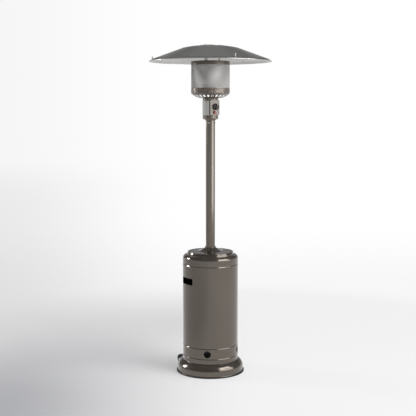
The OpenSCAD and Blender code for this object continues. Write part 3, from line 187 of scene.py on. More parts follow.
class HeaterSizes(PropertyGroup):
    """Sizes of the pieces that are modelled here."""

    hole_d: length_property("Hole", "Diameter of a hole in the emitter screen",
                            3.9 * MM, 2 * MM, 5 * MM)
    hole_rows: count_property("Rows", "Rows of holes in the emitter screen", 25, 8, 40)
    hole_columns: count_property("Column pairs", "Pairs of columns of holes round the screen",
                                 75, 20, 120)
    screen_margin: length_property("Margin", "Plain strip above and below the holes",
                                   10 * MM, 2 * MM, 30 * MM)
    pointer_w: length_property("Pointer", "Width of the line on the knob",
                               2.2 * MM, 1 * MM, 4 * MM)
    tread_ribs: count_property("Tread ribs", "Ribs round each wheel", 36, 12, 60)
    tread_rise: length_property("Tread", "Height of the wheels' ribs",
                                0.6 * MM, 0.2 * MM, 2 * MM)
    weld_w: length_property("Weld", "Width of the bottle's girth weld",
                            5 * MM, 3 * MM, 8 * MM)
    seam_w: length_property("Seam", "Width of the housing's rear seam",
                            12 * MM, 6 * MM, 20 * MM)
    seam_t: length_property("Seam lap", "Thickness of the lap of the rear seam",
                            0.8 * MM, 0.3 * MM, 1.2 * MM)
    clamp_w: length_property("Clamp", "Width of a hose clamp's band",
                             9 * MM, 6 * MM, 12 * MM)
    hem_d: length_property("Hem", "Thickness of the rolled hem on the reflector's rim",
                           3.2 * MM, 2 * MM, 4 * MM)


class HeaterColours(PropertyGroup):
    """Colours of the finishes, as linear values."""

    bronze: colour_property("Bronze", "Smooth powder coat of the housing, pole and base",
                            (0.140, 0.121, 0.102))
    hammered: colour_property("Hammered bronze", "Hammertone coat of the burner head",
                              (0.128, 0.107, 0.087))
    cap: colour_property("Cap", "Dark bronze of the cap on the screen", (0.105, 0.088, 0.071))
    panel: colour_property("Panel", "Champagne metallic of the control panel", (0.17, 0.148, 0.132))
    dish: colour_property("Dish", "Mill-finish aluminium of the reflector", (0.77, 0.76, 0.74))
    screen: colour_property("Screen", "Perforated stainless steel", (0.44, 0.435, 0.42))
    bottle: colour_property("Bottle", "Paint of the gas bottle", (0.22, 0.23, 0.22))


def sizes():
    """The sizes as the user has set them."""
    return bpy.context.scene.heater_sizes


def colours():
    """The colours as the user has set them."""
    return bpy.context.scene.heater_colours


# Materials


def shader(name, colour, roughness, metallic=0.0, coat=0.0, specular=0.5):
    """A material with its plain values set on the shader itself."""
    material = bpy.data.materials.new(name)
    material.use_nodes = True
    bsdf = material.node_tree.nodes["Principled BSDF"]
    bsdf.inputs["Base Color"].default_value = (*colour, 1.0)
    bsdf.inputs["Roughness"].default_value = roughness
    bsdf.inputs["Metallic"].default_value = metallic
    bsdf.inputs["Coat Weight"].default_value = coat
    bsdf.inputs["Coat Roughness"].default_value = COAT_ROUGHNESS
    bsdf.inputs["Specular IOR Level"].default_value = specular
    return material, bsdf


def node(material, kind, **inputs):
    """A new node in a material, with some of its inputs set."""
    made = material.node_tree.nodes.new(kind)
    for name, value in inputs.items():
        made.inputs[name.replace("_", " ")].default_value = value
    return made


def link(material, output, socket):
    """Joins two sockets of a material."""
    material.node_tree.links.new(output, socket)


def math_node(tree, operation, first, second):
    """One step of arithmetic between two sockets, or a socket and a number."""
    made = tree.nodes.new("ShaderNodeMath")
    made.operation = operation
    for socket, value in zip(made.inputs, (first, second)):
        if isinstance(value, float):
            socket.default_value = value
        else:
            tree.links.new(value, socket)
    return made.outputs["Value"]


def place(material, stretch=(1.0, 1.0, 1.0)):
    """The object's own coordinates, stretched."""
    where = node(material, "ShaderNodeTexCoord")
    mapping = node(material, "ShaderNodeMapping", Scale=stretch)
    link(material, where.outputs["Object"], mapping.inputs["Vector"])
    return mapping.outputs["Vector"]


def noise(material, scale, detail=3.0, stretch=(1.0, 1.0, 1.0), roughness=0.5):
    """A cloudy pattern between 0 and 1; scale counts its lumps in a metre."""
    made = node(material, "ShaderNodeTexNoise", Scale=scale, Detail=detail, Roughness=roughness)
    link(material, place(material, stretch), made.inputs["Vector"])
    return made.outputs["Fac"]


def bearing_of(material):
    """The angle round the heater's axis, in radians, and the height."""
    where = node(material, "ShaderNodeTexCoord")
    parts = node(material, "ShaderNodeSeparateXYZ")
    link(material, where.outputs["Object"], parts.inputs["Vector"])
    angle = math_node(material.node_tree, "ARCTAN2", parts.outputs["Y"], parts.outputs["X"])
    return angle, parts.outputs["Z"]


def shade(colour, share):
    """A colour made lighter or darker."""
    return [c * share for c in colour]


def blend_colours(material, factor, low, high, start=0.3, end=0.7):
    """Two colours mixed by a pattern."""
    ramp = material.node_tree.nodes.new("ShaderNodeValToRGB")
    ramp.color_ramp.elements[0].position = start
    ramp.color_ramp.elements[0].color = (*low, 1.0)
    ramp.color_ramp.elements[1].position = end
    ramp.color_ramp.elements[1].color = (*high, 1.0)
    link(material, factor, ramp.inputs["Fac"])
    return ramp.outputs["Color"]


def blend_by_facing(material, under, over, edge=0.2):
    """One colour where a surface faces down and another where it faces up."""
    where = node(material, "ShaderNodeTexCoord")
    facing = node(material, "ShaderNodeSeparateXYZ")
    link(material, where.outputs["Normal"], facing.inputs["Vector"])
    above = node(material, "ShaderNodeMapRange", From_Min=-edge, From_Max=edge)
    link(material, facing.outputs["Z"], above.inputs["Value"])
    mix = node(material, "ShaderNodeMix")
    mix.data_type = "RGBA"
    link(material, above.outputs["Result"], mix.inputs["Factor"])
    link(material, under, mix.inputs["A"])
    link(material, over, mix.inputs["B"])
    return mix.outputs["Result"]


def vary_colour(material, bsdf, factor, colour, amount, start=0.3, end=0.7):
    """Makes the colour lighter and darker by a pattern."""
    low = shade(colour, 1.0 - amount)
    high = [min(1.0, c) for c in shade(colour, 1.0 + amount)]
    link(material, blend_colours(material, factor, low, high, start, end), bsdf.inputs["Base Color"])


def vary_roughness(material, bsdf, factor, low, high):
    """Makes the roughness run between two values by a pattern."""
    spread = node(material, "ShaderNodeMapRange", To_Min=low, To_Max=high)
    link(material, factor, spread.inputs["Value"])
    link(material, spread.outputs["Result"], bsdf.inputs["Roughness"])


def bump(material, bsdf, height, strength, depth):
    """Raises the surface by a pattern; bumps stack when this is called again."""
    made = node(material, "ShaderNodeBump", Strength=strength, Distance=depth)
    socket = bsdf.inputs["Normal"]
    if socket.is_linked:
        link(material, socket.links[0].from_socket, made.inputs["Normal"])
    link(material, height, made.inputs["Height"])
    link(material, made.outputs["Normal"], socket)


def powder_coat(name, colour, roughness=0.15, metallic=0.78, coat=0.3):
    """Smooth gloss powder coat with the faint orange peel of sprayed steel."""
    material, bsdf = shader(name, colour, roughness, metallic, coat)
    clouds = noise(material, scale=3.0, detail=4.0)
    patches = noise(material, scale=14.0, detail=4.0)
    peel = noise(material, scale=420.0, detail=2.0)
    vary_colour(material, bsdf, clouds, colour, amount=0.04)
    vary_roughness(material, bsdf, patches, roughness - 0.03, roughness + 0.04)
    bump(material, bsdf, peel, strength=0.02, depth=0.3 * MM)
    return material


def hammertone(name, colour):
    """Hammered enamel: shallow round cells, its mottle coloured with painted shade in each hollow and a
    painted highlight on each raised rim.
    """
    material, bsdf = shader(name, colour, roughness=0.30, metallic=0.5, coat=0.3)
    cells = node(material, "ShaderNodeTexVoronoi", Scale=105.0, Randomness=0.9)
    link(material, place(material), cells.inputs["Vector"])
    patches = noise(material, scale=60.0)
    ripples = noise(material, scale=170.0, detail=1.0)
    # the finish's mottle, with painted shade in each cell's hollow and a painted highlight on its raised
    # rim, where the bump stands highest
    vary_colour(material, bsdf, cells.outputs["Distance"], colour, amount=0.6, start=0.15, end=0.75)
    vary_roughness(material, bsdf, patches, 0.24, 0.38)
    bump(material, bsdf, ripples, strength=0.5, depth=1.2 * MM)
    bump(material, bsdf, cells.outputs["Distance"], strength=0.9, depth=2.2 * MM)
    return material


def sheet_metal(name, colour, roughness, metallic=1.0):
    """Rolled sheet with faint lines along one way."""
    material, bsdf = shader(name, colour, roughness, metallic)
    lines = noise(material, scale=9.0, detail=6.0, stretch=ROLLED, roughness=0.65)
    vary_colour(material, bsdf, lines, colour, amount=0.05)
    vary_roughness(material, bsdf, lines, roughness - 0.06, roughness + 0.08)
    bump(material, bsdf, lines, strength=0.05, depth=0.1 * MM)
    return material


def plated(name, colour, roughness=0.3):
    """Zinc-plated or machined metal with cloudy patches."""
    material, bsdf = shader(name, colour, roughness, metallic=1.0)
    clouds = noise(material, scale=160.0, detail=5.0)
    grain = noise(material, scale=900.0, detail=2.0)
    vary_colour(material, bsdf, clouds, colour, amount=0.12)
    vary_roughness(material, bsdf, clouds, roughness - 0.08, roughness + 0.12)
    bump(material, bsdf, grain, strength=0.06, depth=0.1 * MM)
    return material


def moulded(name, colour, roughness=0.45):
    """Moulded plastic or fired ceramic with a fine texture."""
    material, bsdf = shader(name, colour, roughness)
    patches = noise(material, scale=40.0, detail=4.0)
    grain = noise(material, scale=1500.0, detail=2.0)
    vary_roughness(material, bsdf, patches, roughness - 0.06, roughness + 0.08)
    bump(material, bsdf, grain, strength=0.12, depth=0.15 * MM)
    return material


def rubbery(name, colour):
    """Soft rubber: dull, a little dusty."""
    material, bsdf = shader(name, colour, roughness=0.72, specular=0.35)
    dust = noise(material, scale=35.0, detail=5.0)
    patches = noise(material, scale=80.0, detail=4.0)
    grain = noise(material, scale=700.0, detail=3.0)
    vary_colour(material, bsdf, dust, colour, amount=0.25)
    vary_roughness(material, bsdf, patches, 0.62, 0.82)
    bump(material, bsdf, grain, strength=0.15, depth=0.2 * MM)
    return material


def cast(name, colour):
    """Sand-cast iron under thin paint."""
    material, bsdf = shader(name, colour, roughness=0.68, metallic=0.3)
    patches = noise(material, scale=50.0, detail=6.0)
    sand = noise(material, scale=260.0, detail=5.0)
    vary_colour(material, bsdf, patches, colour, amount=0.3)
    bump(material, bsdf, sand, strength=0.5, depth=0.8 * MM)
    return material


def reflector_sheet(name, colour):
    """Bright aluminium with fine radial lines, with painted shade making it darker where it faces down."""
    material, bsdf = shader(name, colour, roughness=0.26, metallic=1.0)
    angle = bearing_of(material)[0]
    spokes = node(material, "ShaderNodeCombineXYZ")
    link(material, angle, spokes.inputs["X"])
    pattern = node(material, "ShaderNodeTexNoise", Scale=70.0, Detail=4.0)
    link(material, spokes.outputs["Vector"], pattern.inputs["Vector"])
    lines = pattern.outputs["Fac"]
    clouds = noise(material, scale=6.0)
    waves = noise(material, scale=5.0, detail=1.0)
    bright = blend_colours(material, lines, shade(colour, 0.93), shade(colour, 1.06))
    # painted shade: where the sheet faces down it is a darker copy of the aluminium; the upper side keeps
    # its own colour and lines
    painted_underside_shade = blend_colours(material, clouds, shade(colour, 0.58), shade(colour, 0.70))
    link(material, blend_by_facing(material, painted_underside_shade, bright), bsdf.inputs["Base Color"])
    bump(material, bsdf, lines, strength=0.05, depth=0.2 * MM)
    bump(material, bsdf, waves, strength=0.04, depth=4 * MM)
    return material


def webbing(name, colour):
    """Woven strap: its threads are small squares, counted round the bottle and up it."""
    material, bsdf = shader(name, colour, roughness=0.8, specular=0.3)
    bsdf.inputs["Sheen Weight"].default_value = 0.3
    angle, height = bearing_of(material)
    threads = node(material, "ShaderNodeCombineXYZ")
    link(material, math_node(material.node_tree, "MULTIPLY", angle, STRAP_R), threads.inputs["X"])
    link(material, height, threads.inputs["Y"])
    weave = node(material, "ShaderNodeTexChecker", Scale=620.0)
    link(material, threads.outputs["Vector"], weave.inputs["Vector"])
    vary_colour(material, bsdf, weave.outputs["Fac"], colour, amount=0.35)
    bump(material, bsdf, weave.outputs["Fac"], strength=0.5, depth=0.4 * MM)
    return material


def glossy_paint(name, colour):
    """Thick gloss enamel of a gas bottle, with handling marks."""
    material, bsdf = shader(name, colour, roughness=0.26, coat=0.4)
    clouds = noise(material, scale=7.0, detail=5.0)
    marks = noise(material, scale=55.0, detail=6.0, stretch=RUBBED)
    peel = noise(material, scale=260.0, detail=2.0)
    vary_colour(material, bsdf, clouds, colour, amount=0.05)
    vary_roughness(material, bsdf, marks, 0.2, 0.42)
    bump(material, bsdf, peel, strength=0.12, depth=0.4 * MM)
    return material


def make_materials():
    """Every finish on the heater, by the name of its slot in the record."""
    c = colours()
    return {
        "bronze": powder_coat("smooth bronze", c.bronze),
        "hammered_bronze": hammertone("hammered bronze", c.hammered),
        "dark_bronze": powder_coat("dark bronze", c.cap, roughness=0.38),
        # painted shade: the trim round the base's foot is near-black where the flare's lower edge lies in
        # shade
        "edge_rubber": rubbery("edge trim painted shade", (0.012, 0.012, 0.012)),
        "hose_rubber": rubbery("hose rubber", (0.014, 0.014, 0.015)),
        "weight_iron": cast("weight iron", (0.025, 0.025, 0.024)),
        "black_steel": powder_coat("black steel", (0.018, 0.018, 0.018), roughness=0.42, metallic=0.1),
        "zinc": plated("zinc", (0.48, 0.47, 0.44)),
        "black_plastic": moulded("black plastic", (0.012, 0.012, 0.013)),
        "green_plastic": moulded("green plastic", (0.012, 0.10, 0.035), roughness=0.4),
        "red_plastic": moulded("red plastic", (0.27, 0.012, 0.009), roughness=0.25),
        "lead_silicone": rubbery("lead silicone", (0.16, 0.012, 0.010)),
        "bottle_paint": glossy_paint("bottle paint", c.bottle),
        "brass": plated("brass", (0.60, 0.43, 0.17), roughness=0.28),
        "regulator_alloy": plated("regulator alloy", (0.36, 0.37, 0.38), roughness=0.45),
        "strap_webbing": webbing("strap webbing", (0.020, 0.020, 0.022)),
        "panel_bronze": powder_coat("champagne panel", c.panel, roughness=0.42, metallic=0.5, coat=0.15),
        "plate_silver": sheet_metal("plate silver", (0.50, 0.50, 0.48), roughness=0.60, metallic=0.3),
        "burner_steel": sheet_metal("burner steel", (0.40, 0.38, 0.35), roughness=0.42),
        "copper": plated("copper", (0.62, 0.32, 0.18)),
        "ceramic": moulded("ceramic", (0.80, 0.77, 0.70), roughness=0.2),
        "screen_steel": sheet_metal("screen steel", c.screen, roughness=0.75, metallic=0.05),
        "dish_aluminium": reflector_sheet("dish aluminium", c.dish),
    }


# Modelling helpers


def fresh():
    """Leaves edit mode and deselects everything."""
    if bpy.context.object and bpy.context.object.mode != "OBJECT":
        bpy.ops.object.mode_set(mode="OBJECT")
    bpy.ops.object.select_all(action="DESELECT")


def start_piece(name):
    """Names the object that an operator has just added and puts its place in its mesh."""
    piece = bpy.context.object
    piece.name = name
    piece.data.name = name
    bpy.ops.object.transform_apply(location=True, rotation=True, scale=True)
    return piece


def edit_all():
    """Opens the active piece in edit mode with all of it selected."""
    bpy.ops.object.mode_set(mode="EDIT")
    bpy.ops.mesh.select_all(action="SELECT")


def select_where(piece, test, mode="VERT"):
    """In edit mode, selects the vertices or faces whose place passes a test."""
    bpy.ops.mesh.select_mode(type=mode)
    bpy.ops.mesh.select_all(action="DESELECT")
    bpy.ops.object.mode_set(mode="OBJECT")
    if mode == "VERT":
        for vertex in piece.data.vertices:
            vertex.select = test(vertex.co)
    else:
        for face in piece.data.polygons:
            face.select = test(face.center)
    bpy.ops.object.mode_set(mode="EDIT")


def apply_modifier(piece, name, kind, **values):
    """Adds a modifier, sets it and applies it."""
    made = piece.modifiers.new(name, kind)
    for key, value in values.items():
        setattr(made, key, value)
    bpy.context.view_layer.objects.active = piece
    bpy.ops.object.modifier_apply(modifier=made.name)


def add_box(centre, size):
    """A cuboid, added to the mesh in edit mode or as an object of its own."""
    bpy.ops.mesh.primitive_cube_add(size=1, location=centre, scale=size)


def add_ring(centre, radius, thick):
    """A ring round a vertical axis."""
    bpy.ops.mesh.primitive_torus_add(location=centre, major_radius=radius, minor_radius=thick / 2,
                                     major_segments=128, minor_segments=10)


def finish_piece(piece, body, material, smooth=SMOOTH_PLAIN):
    """Shades a piece, gives it its material and lets it ride on its body."""
    fresh()
    piece.select_set(True)
    bpy.context.view_layer.objects.active = piece
    bpy.ops.object.shade_smooth_by_angle(angle=math.radians(smooth))
    piece.data.materials.clear()
    piece.data.materials.append(material)
    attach(piece, body)
    piece.select_set(False)


def found_material(name):
    """A material that the finishes operator has made."""
    return bpy.data.materials[name]


# Pieces


class HEATER_OT_finishes(Operator):
    """Give every CAD piece the finish of its slot"""

    bl_idname = "heater.finishes"
    bl_label = "Finishes"

    def execute(self, context):
        made = make_materials()
        for part in frame["record"]["subparts"]:
            target = nodes[part["node"]]
            target.data.materials.clear()
            target.data.materials.append(made[part["material_slot"]])
        return {"FINISHED"}


def start_screen(centre, width, rise, hole_d):
    """Starts the screen with one upright tile that has a round hole in its middle."""
    bpy.ops.mesh.primitive_circle_add(vertices=8, radius=width / 2, fill_type="TRIFAN",
                                      location=centre, rotation=(math.pi / 2, 0, 0))
    screen = start_piece("perforated_screen")
    outer, inner = width * 0.2, width * 0.1
    to_square = math.sqrt(2)  # takes the slanting corners out to those of a square
    bpy.ops.object.mode_set(mode="EDIT")
    select_where(screen, lambda p: abs(p.x) > outer and abs(p.z - centre.z) > outer)
    bpy.ops.transform.resize(value=(to_square, 1, to_square), center_override=centre)
    bpy.ops.mesh.select_all(action="SELECT")
    bpy.ops.transform.resize(value=(1, 1, rise / width), center_override=centre)
    select_where(screen, lambda p: (p - centre).length < inner)
    bpy.ops.mesh.bevel(offset=hole_d / 2, affect="VERTICES", offset_type="OFFSET")
    select_where(screen, lambda p: (p - centre).length < inner, "FACE")
    bpy.ops.mesh.delete(type="FACE")
    bpy.ops.object.mode_set(mode="OBJECT")
    return screen


def stack_tiles(screen, first, rise, rows, margin):
    """Stacks the tile into a column and adds the plain strips below and above it."""
    apply_modifier(screen, "rows", "ARRAY", count=rows, use_relative_offset=False,
                   use_constant_offset=True, constant_offset_displace=(0, 0, rise),
                   use_merge_vertices=True, merge_threshold=rise * MERGE_SHARE)
    bpy.ops.object.mode_set(mode="EDIT")
    tiny = rise * 0.05
    for level, steps in ((first, (-margin,)), (first + rise * rows, (rise / 2, margin))):
        for step in steps:
            select_where(screen, lambda p: abs(p.z - level) < tiny)
            bpy.ops.mesh.extrude_region_move(TRANSFORM_OT_translate={"value": (0, 0, step)})
            level += step


def turn_columns(middle, turn, pairs, width):
    """Adds a column upside down beside the first, and turns the pair round the axis."""
    bpy.ops.mesh.select_all(action="SELECT")
    bpy.ops.mesh.duplicate()
    bpy.ops.transform.resize(value=(1, 1, -1), center_override=middle)
    bpy.ops.transform.rotate(value=-turn, orient_axis="Z", center_override=(0, 0, 0))
    bpy.ops.mesh.select_all(action="SELECT")
    bpy.ops.mesh.spin(steps=pairs - 1, angle=2 * turn * (pairs - 1), use_auto_merge=False,
                      dupli=True, center=(0, 0, 0), axis=(0, 0, 1))
    bpy.ops.mesh.select_all(action="SELECT")
    bpy.ops.mesh.remove_doubles(threshold=width * MERGE_SHARE)
    bpy.ops.mesh.normals_make_consistent(inside=False)
    bpy.ops.object.mode_set(mode="OBJECT")


class HEATER_OT_screen(Operator):
    """Model the perforated emitter screen"""

    bl_idname = "heater.screen"
    bl_label = "Emitter screen"

    def execute(self, context):
        s = sizes()
        low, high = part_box("emitter_screen")
        turn = math.pi / s.hole_columns
        reach = high.x * math.cos(turn / 2)
        width = 2 * reach * math.tan(turn / 2)
        rise = (high.z - low.z - 2 * s.screen_margin) / (s.hole_rows + 0.5)
        first = low.z + s.screen_margin
        fresh()
        screen = start_screen(Vector((0, -reach, first + rise / 2)), width, rise, s.hole_d)
        stack_tiles(screen, first, rise, s.hole_rows, s.screen_margin)
        turn_columns(Vector((0, -reach, (low.z + high.z) / 2)), turn, s.hole_columns, width)
        apply_modifier(screen, "sheet", "SOLIDIFY", thickness=SCREEN_SHEET, offset=-1.0)
        finish_piece(screen, "root", found_material("screen steel"))
        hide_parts("emitter_screen")
        return {"FINISHED"}


class HEATER_OT_pointer(Operator):
    """Put the pointer on the knob"""

    bl_idname = "heater.pointer"
    bl_label = "Knob pointer"

    def execute(self, context):
        low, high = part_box("control_knob")
        reach = (high.z - low.z) / 2
        middle = Vector((0, low.y, low.z + reach))
        fresh()
        add_box(middle + Vector((0, 0, reach * POINTER_PLACE)),
                (sizes().pointer_w, POINTER_T, reach * POINTER_LENGTH))
        pointer = start_piece("knob_pointer")
        edit_all()
        bpy.ops.transform.rotate(value=-math.radians(KNOB_LEAN), orient_axis="Y",
                                 center_override=middle)
        bpy.ops.mesh.bevel(offset=POINTER_EDGE, segments=2, affect="EDGES")
        bpy.ops.object.mode_set(mode="OBJECT")
        finish_piece(pointer, "knob", found_material("plate silver"))
        return {"FINISHED"}


class HEATER_OT_treads(Operator):
    """Model the ribs round the wheels"""

    bl_idname = "heater.treads"
    bl_label = "Wheel treads"

    def execute(self, context):
        s = sizes()
        turn = 2 * math.pi / s.tread_ribs
        for side in ("left", "right"):
            low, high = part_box("wheel_" + side)
            middle = (low + high) / 2
            radius = high.z - middle.z
            fresh()
            add_box(Vector((middle.x, middle.y, high.z)),
                    ((high.x - low.x) * RIB_SHARE, radius * turn / 2, 2 * s.tread_rise))
            tread = start_piece("wheel_tread_" + side)
            edit_all()
            bpy.ops.mesh.bevel(offset=s.tread_rise / 3, segments=1, affect="EDGES")
            bpy.ops.mesh.select_all(action="SELECT")
            bpy.ops.mesh.spin(steps=s.tread_ribs - 1, angle=turn * (s.tread_ribs - 1),
                              use_auto_merge=False, dupli=True, center=middle, axis=(1, 0, 0))
            bpy.ops.object.mode_set(mode="OBJECT")
            finish_piece(tread, side + "_wheel", found_material("black plastic"))
        return {"FINISHED"}


def make_weld(s):
    """The girth weld, a ring that stands out from the bottle by a quarter of its width."""
    low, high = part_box("gas_bottle")
    fresh()
    add_ring(Vector((0, 0, (low.z + high.z) / 2)), high.x, s.weld_w)
    weld = start_piece("bottle_weld")
    edit_all()
    flat = 1 - s.weld_w / 4 / high.x
    bpy.ops.transform.resize(value=(flat, flat, 1), center_override=(0, 0, 0))
    bpy.ops.object.mode_set(mode="OBJECT")
    finish_piece(weld, "root", found_material("bottle paint"), SMOOTH_ROUND)


def make_hem(s):
    """The rolled hem, just inside the reflector's rim."""
    low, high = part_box("reflector_panel_rear")
    rim = max(high.x, high.y)
    fresh()
    add_ring(Vector((0, 0, low.z + s.hem_d / 2)), rim - s.hem_d / 2, s.hem_d)
    hem = start_piece("reflector_hem")
    finish_piece(hem, "root", found_material("dish aluminium"), SMOOTH_ROUND)


def make_seam(s):
    """The rear seam, a flat lap between the housing's beads."""
    low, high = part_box("housing_shell")
    back = high.y - BEAD_OUT
    fresh()
    seam = None
    for start, end in SEAM_SPANS:
        centre = Vector((0, back, low.z + (start + end) / 2))
        add_box(centre, (s.seam_w, 2 * s.seam_t, end - start))
        if seam is None:
            seam = start_piece("housing_seam")
            bpy.ops.object.mode_set(mode="EDIT")
    bpy.ops.mesh.select_all(action="SELECT")
    bpy.ops.mesh.bevel(offset=s.seam_t * SEAM_EDGE, segments=2, affect="EDGES")
    bpy.ops.object.mode_set(mode="OBJECT")
    finish_piece(seam, "housing", found_material("smooth bronze"))


class HEATER_OT_welds(Operator):
    """Model the bottle's girth weld, the reflector's rolled hem and the housing's rear seam"""

    bl_idname = "heater.welds"
    bl_label = "Weld, hem and seam"

    def execute(self, context):
        for make in (make_weld, make_hem, make_seam):
            make(sizes())
        return {"FINISHED"}


def make_clamp(name, centre, lean, width):
    """A band with its screw's block and hexagonal head, turned and put in its place."""
    fresh()
    bpy.ops.mesh.primitive_cylinder_add(vertices=40, radius=HOSE_R + CLAMP_PLAY, depth=width,
                                        end_fill_type="NOTHING", location=(0, 0, 0))
    clamp = start_piece(name)
    apply_modifier(clamp, "band", "SOLIDIFY", thickness=BAND_T, offset=1.0)
    bpy.ops.object.mode_set(mode="EDIT")
    out = HOSE_R + SCREW_BLOCK_OUT
    add_box((out, 0, 0), (*SCREW_BLOCK, width))
    bpy.ops.mesh.bevel(offset=SCREW_BLOCK_EDGE, segments=2, affect="EDGES")
    bpy.ops.mesh.primitive_cylinder_add(vertices=6, radius=SCREW_R, depth=SCREW_HEAD,
                                        location=(out, SCREW_OUT, 0), rotation=(math.pi / 2, 0, 0))
    bpy.ops.mesh.select_all(action="SELECT")
    bpy.ops.transform.rotate(value=math.radians(lean), orient_axis="Y", center_override=(0, 0, 0))
    bpy.ops.transform.translate(value=centre)
    bpy.ops.mesh.normals_make_consistent(inside=False)
    bpy.ops.object.mode_set(mode="OBJECT")
    finish_piece(clamp, "root", found_material("zinc"))


class HEATER_OT_clamps(Operator):
    """Model the clamps at both ends of the gas hose"""

    bl_idname = "heater.clamps"
    bl_label = "Hose clamps"

    def execute(self, context):
        for name, (centre, lean) in CLAMPS.items():
            make_clamp(name, Vector(centre), lean, sizes().clamp_w)
        return {"FINISHED"}


class HEATER_OT_hose(Operator):
    """Lay the gas hose from the regulator up through the pole to the gas valve"""

    bl_idname = "heater.hose"
    bl_label = "Gas hose"

    def execute(self, context):
        curve = bpy.data.curves.new("gas_hose_line", "CURVE")
        curve.dimensions = "3D"
        curve.resolution_u = 6
        curve.bevel_depth = HOSE_R
        curve.bevel_resolution = 4
        curve.use_fill_caps = True
        line = curve.splines.new("BEZIER")
        line.bezier_points.add(len(HOSE_ROUTE) - 1)
        for point, spot in zip(line.bezier_points, HOSE_ROUTE):
            point.co = Vector(spot) * MM
            point.handle_left_type = point.handle_right_type = "AUTO"
        hose = bpy.data.objects.new("gas_hose_line", curve)
        context.scene.collection.objects.link(hose)
        context.view_layer.update()
        curve.materials.append(found_material("hose rubber"))
        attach(hose, "root")
        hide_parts("gas_hose")
        return {"FINISHED"}


# Stage


def around(bearing, distance, height):
    """A point at a bearing from -Y towards +X, in degrees."""
    angle = math.radians(bearing)
    return Vector((distance * math.sin(angle), -distance * math.cos(angle), height))


def area_light(name, bearing, distance, height, width, tall, power, aim_height, spread=180.0):
    """A soft box that looks at the heater; a small spread is a box with a grid."""
    data = bpy.data.lights.new(name, "AREA")
    data.shape = "RECTANGLE"
    data.size = width
    data.size_y = tall
    data.energy = power
    data.spread = math.radians(spread)
    lamp = bpy.data.objects.new(name, data)
    bpy.context.scene.collection.objects.link(lamp)
    lamp.location = around(bearing, distance, height)
    aim = Vector((0, 0, aim_height)) - lamp.location
    lamp.rotation_euler = aim.to_track_quat("-Z", "Y").to_euler()


def ray(tree, kind):
    """1 for rays of one kind, such as those from the camera."""
    return tree.nodes.new("ShaderNodeLightPath").outputs[kind]


def mirrored(tree):
    """1 for what mirrors and glass show, so that they see the pale studio too."""
    return math_node(tree, "MAXIMUM", ray(tree, "Is Glossy Ray"), ray(tree, "Is Transmission Ray"))


def towards(tree, where, bearing):
    """How far a place or a direction reaches towards a bearing."""
    along = tree.nodes.new("ShaderNodeVectorMath")
    along.operation = "DOT_PRODUCT"
    tree.links.new(where, along.inputs[0])
    along.inputs[1].default_value = around(bearing, 1.0, 0.0)
    return along.outputs["Value"]


def smooth_step(tree, value, low, high, least=0.0, most=1.0):
    """Runs smoothly between two values while another runs from low to high."""
    spread = tree.nodes.new("ShaderNodeMapRange")
    spread.interpolation_type = "SMOOTHSTEP"
    for name, number in (("From Min", low), ("From Max", high), ("To Min", least), ("To Max", most)):
        spread.inputs[name].default_value = number
    tree.links.new(value, spread.inputs["Value"])
    return spread.outputs["Result"]


def mixed(tree, factor, first, second):
    """Two shaders mixed by a socket."""
    mix = tree.nodes.new("ShaderNodeMixShader")
    tree.links.new(factor, mix.inputs["Fac"])
    tree.links.new(first, mix.inputs[1])
    tree.links.new(second, mix.inputs[2])
    return mix.outputs["Shader"]


def background(tree, grey=1.0, colour=None, strength=None):
    """A world surface of one grey; sockets may give its colour and its strength instead."""
    made = tree.nodes.new("ShaderNodeBackground")
    made.inputs["Color"].default_value = (grey, grey, grey, 1.0)
    for name, socket in (("Color", colour), ("Strength", strength)):
        if socket is not None:
            tree.links.new(socket, made.inputs[name])
    return made.outputs["Background"]


def ceiling_colour(tree, where):
    """The grey that mirrors see in each direction, by how steeply it rises."""
    parts = tree.nodes.new("ShaderNodeSeparateXYZ")
    tree.links.new(where, parts.inputs["Vector"])
    ramp = tree.nodes.new("ShaderNodeValToRGB")
    stops = ramp.color_ramp.elements
    for n, (rise, grey) in enumerate(CEILING):
        stop = stops[n] if n < len(stops) else stops.new(rise)
        stop.position = rise
        stop.color = (grey, grey, grey, 1.0)
    tree.links.new(parts.outputs["Z"], ramp.inputs["Fac"])
    return ramp.outputs["Color"]


def make_world():
    """White to the camera, with painted shade to the left, walls and a ceiling to mirrors, plain light to
    the rest.
    """
    world = bpy.data.worlds.new("studio")
    bpy.context.scene.world = world
    world.use_nodes = True
    tree = world.node_tree
    where = tree.nodes.new("ShaderNodeTexCoord").outputs["Generated"]
    wall = smooth_step(tree, towards(tree, where, BEARING + 180), *BACK_WALL, SIDE_WALL, 1.0)
    studio = background(tree, colour=ceiling_colour(tree, where), strength=wall)
    unseen = mixed(tree, mirrored(tree), background(tree, AMBIENT), studio)
    # painted shade: the backdrop the camera sees is dimmer to the left
    left = smooth_step(tree, towards(tree, where, BEARING - 90), *LEFT_FADE, 1.0, 1.0 - LEFT_PAINTED_SHADE[0])
    surface = mixed(tree, ray(tree, "Is Camera Ray"), unseen, background(tree, strength=left))
    tree.links.new(surface, tree.nodes["World Output"].inputs["Surface"])


def floor_white(tree, where, right):
    """How much of the floor is plain white: to the camera far away, and to the right as painted light, and
    to mirrors.
    """
    length = tree.nodes.new("ShaderNodeVectorMath")
    length.operation = "LENGTH"
    tree.links.new(where, length.inputs[0])
    seen = ray(tree, "Is Camera Ray")
    far = math_node(tree, "MULTIPLY", smooth_step(tree, length.outputs["Value"], *WHITE_ROUND), seen)
    # painted light: white glow on the floor to the heater's right
    painted_light_right = math_node(tree, "MULTIPLY", smooth_step(tree, right, *PAINTED_LIGHT_RIGHT, 0.0, FLOOR_PAINTED_LIGHT), seen)
    for_mirrors = math_node(tree, "MULTIPLY", mirrored(tree), FLOOR_MIRRORED)
    return math_node(tree, "MAXIMUM", math_node(tree, "MAXIMUM", far, for_mirrors), painted_light_right)


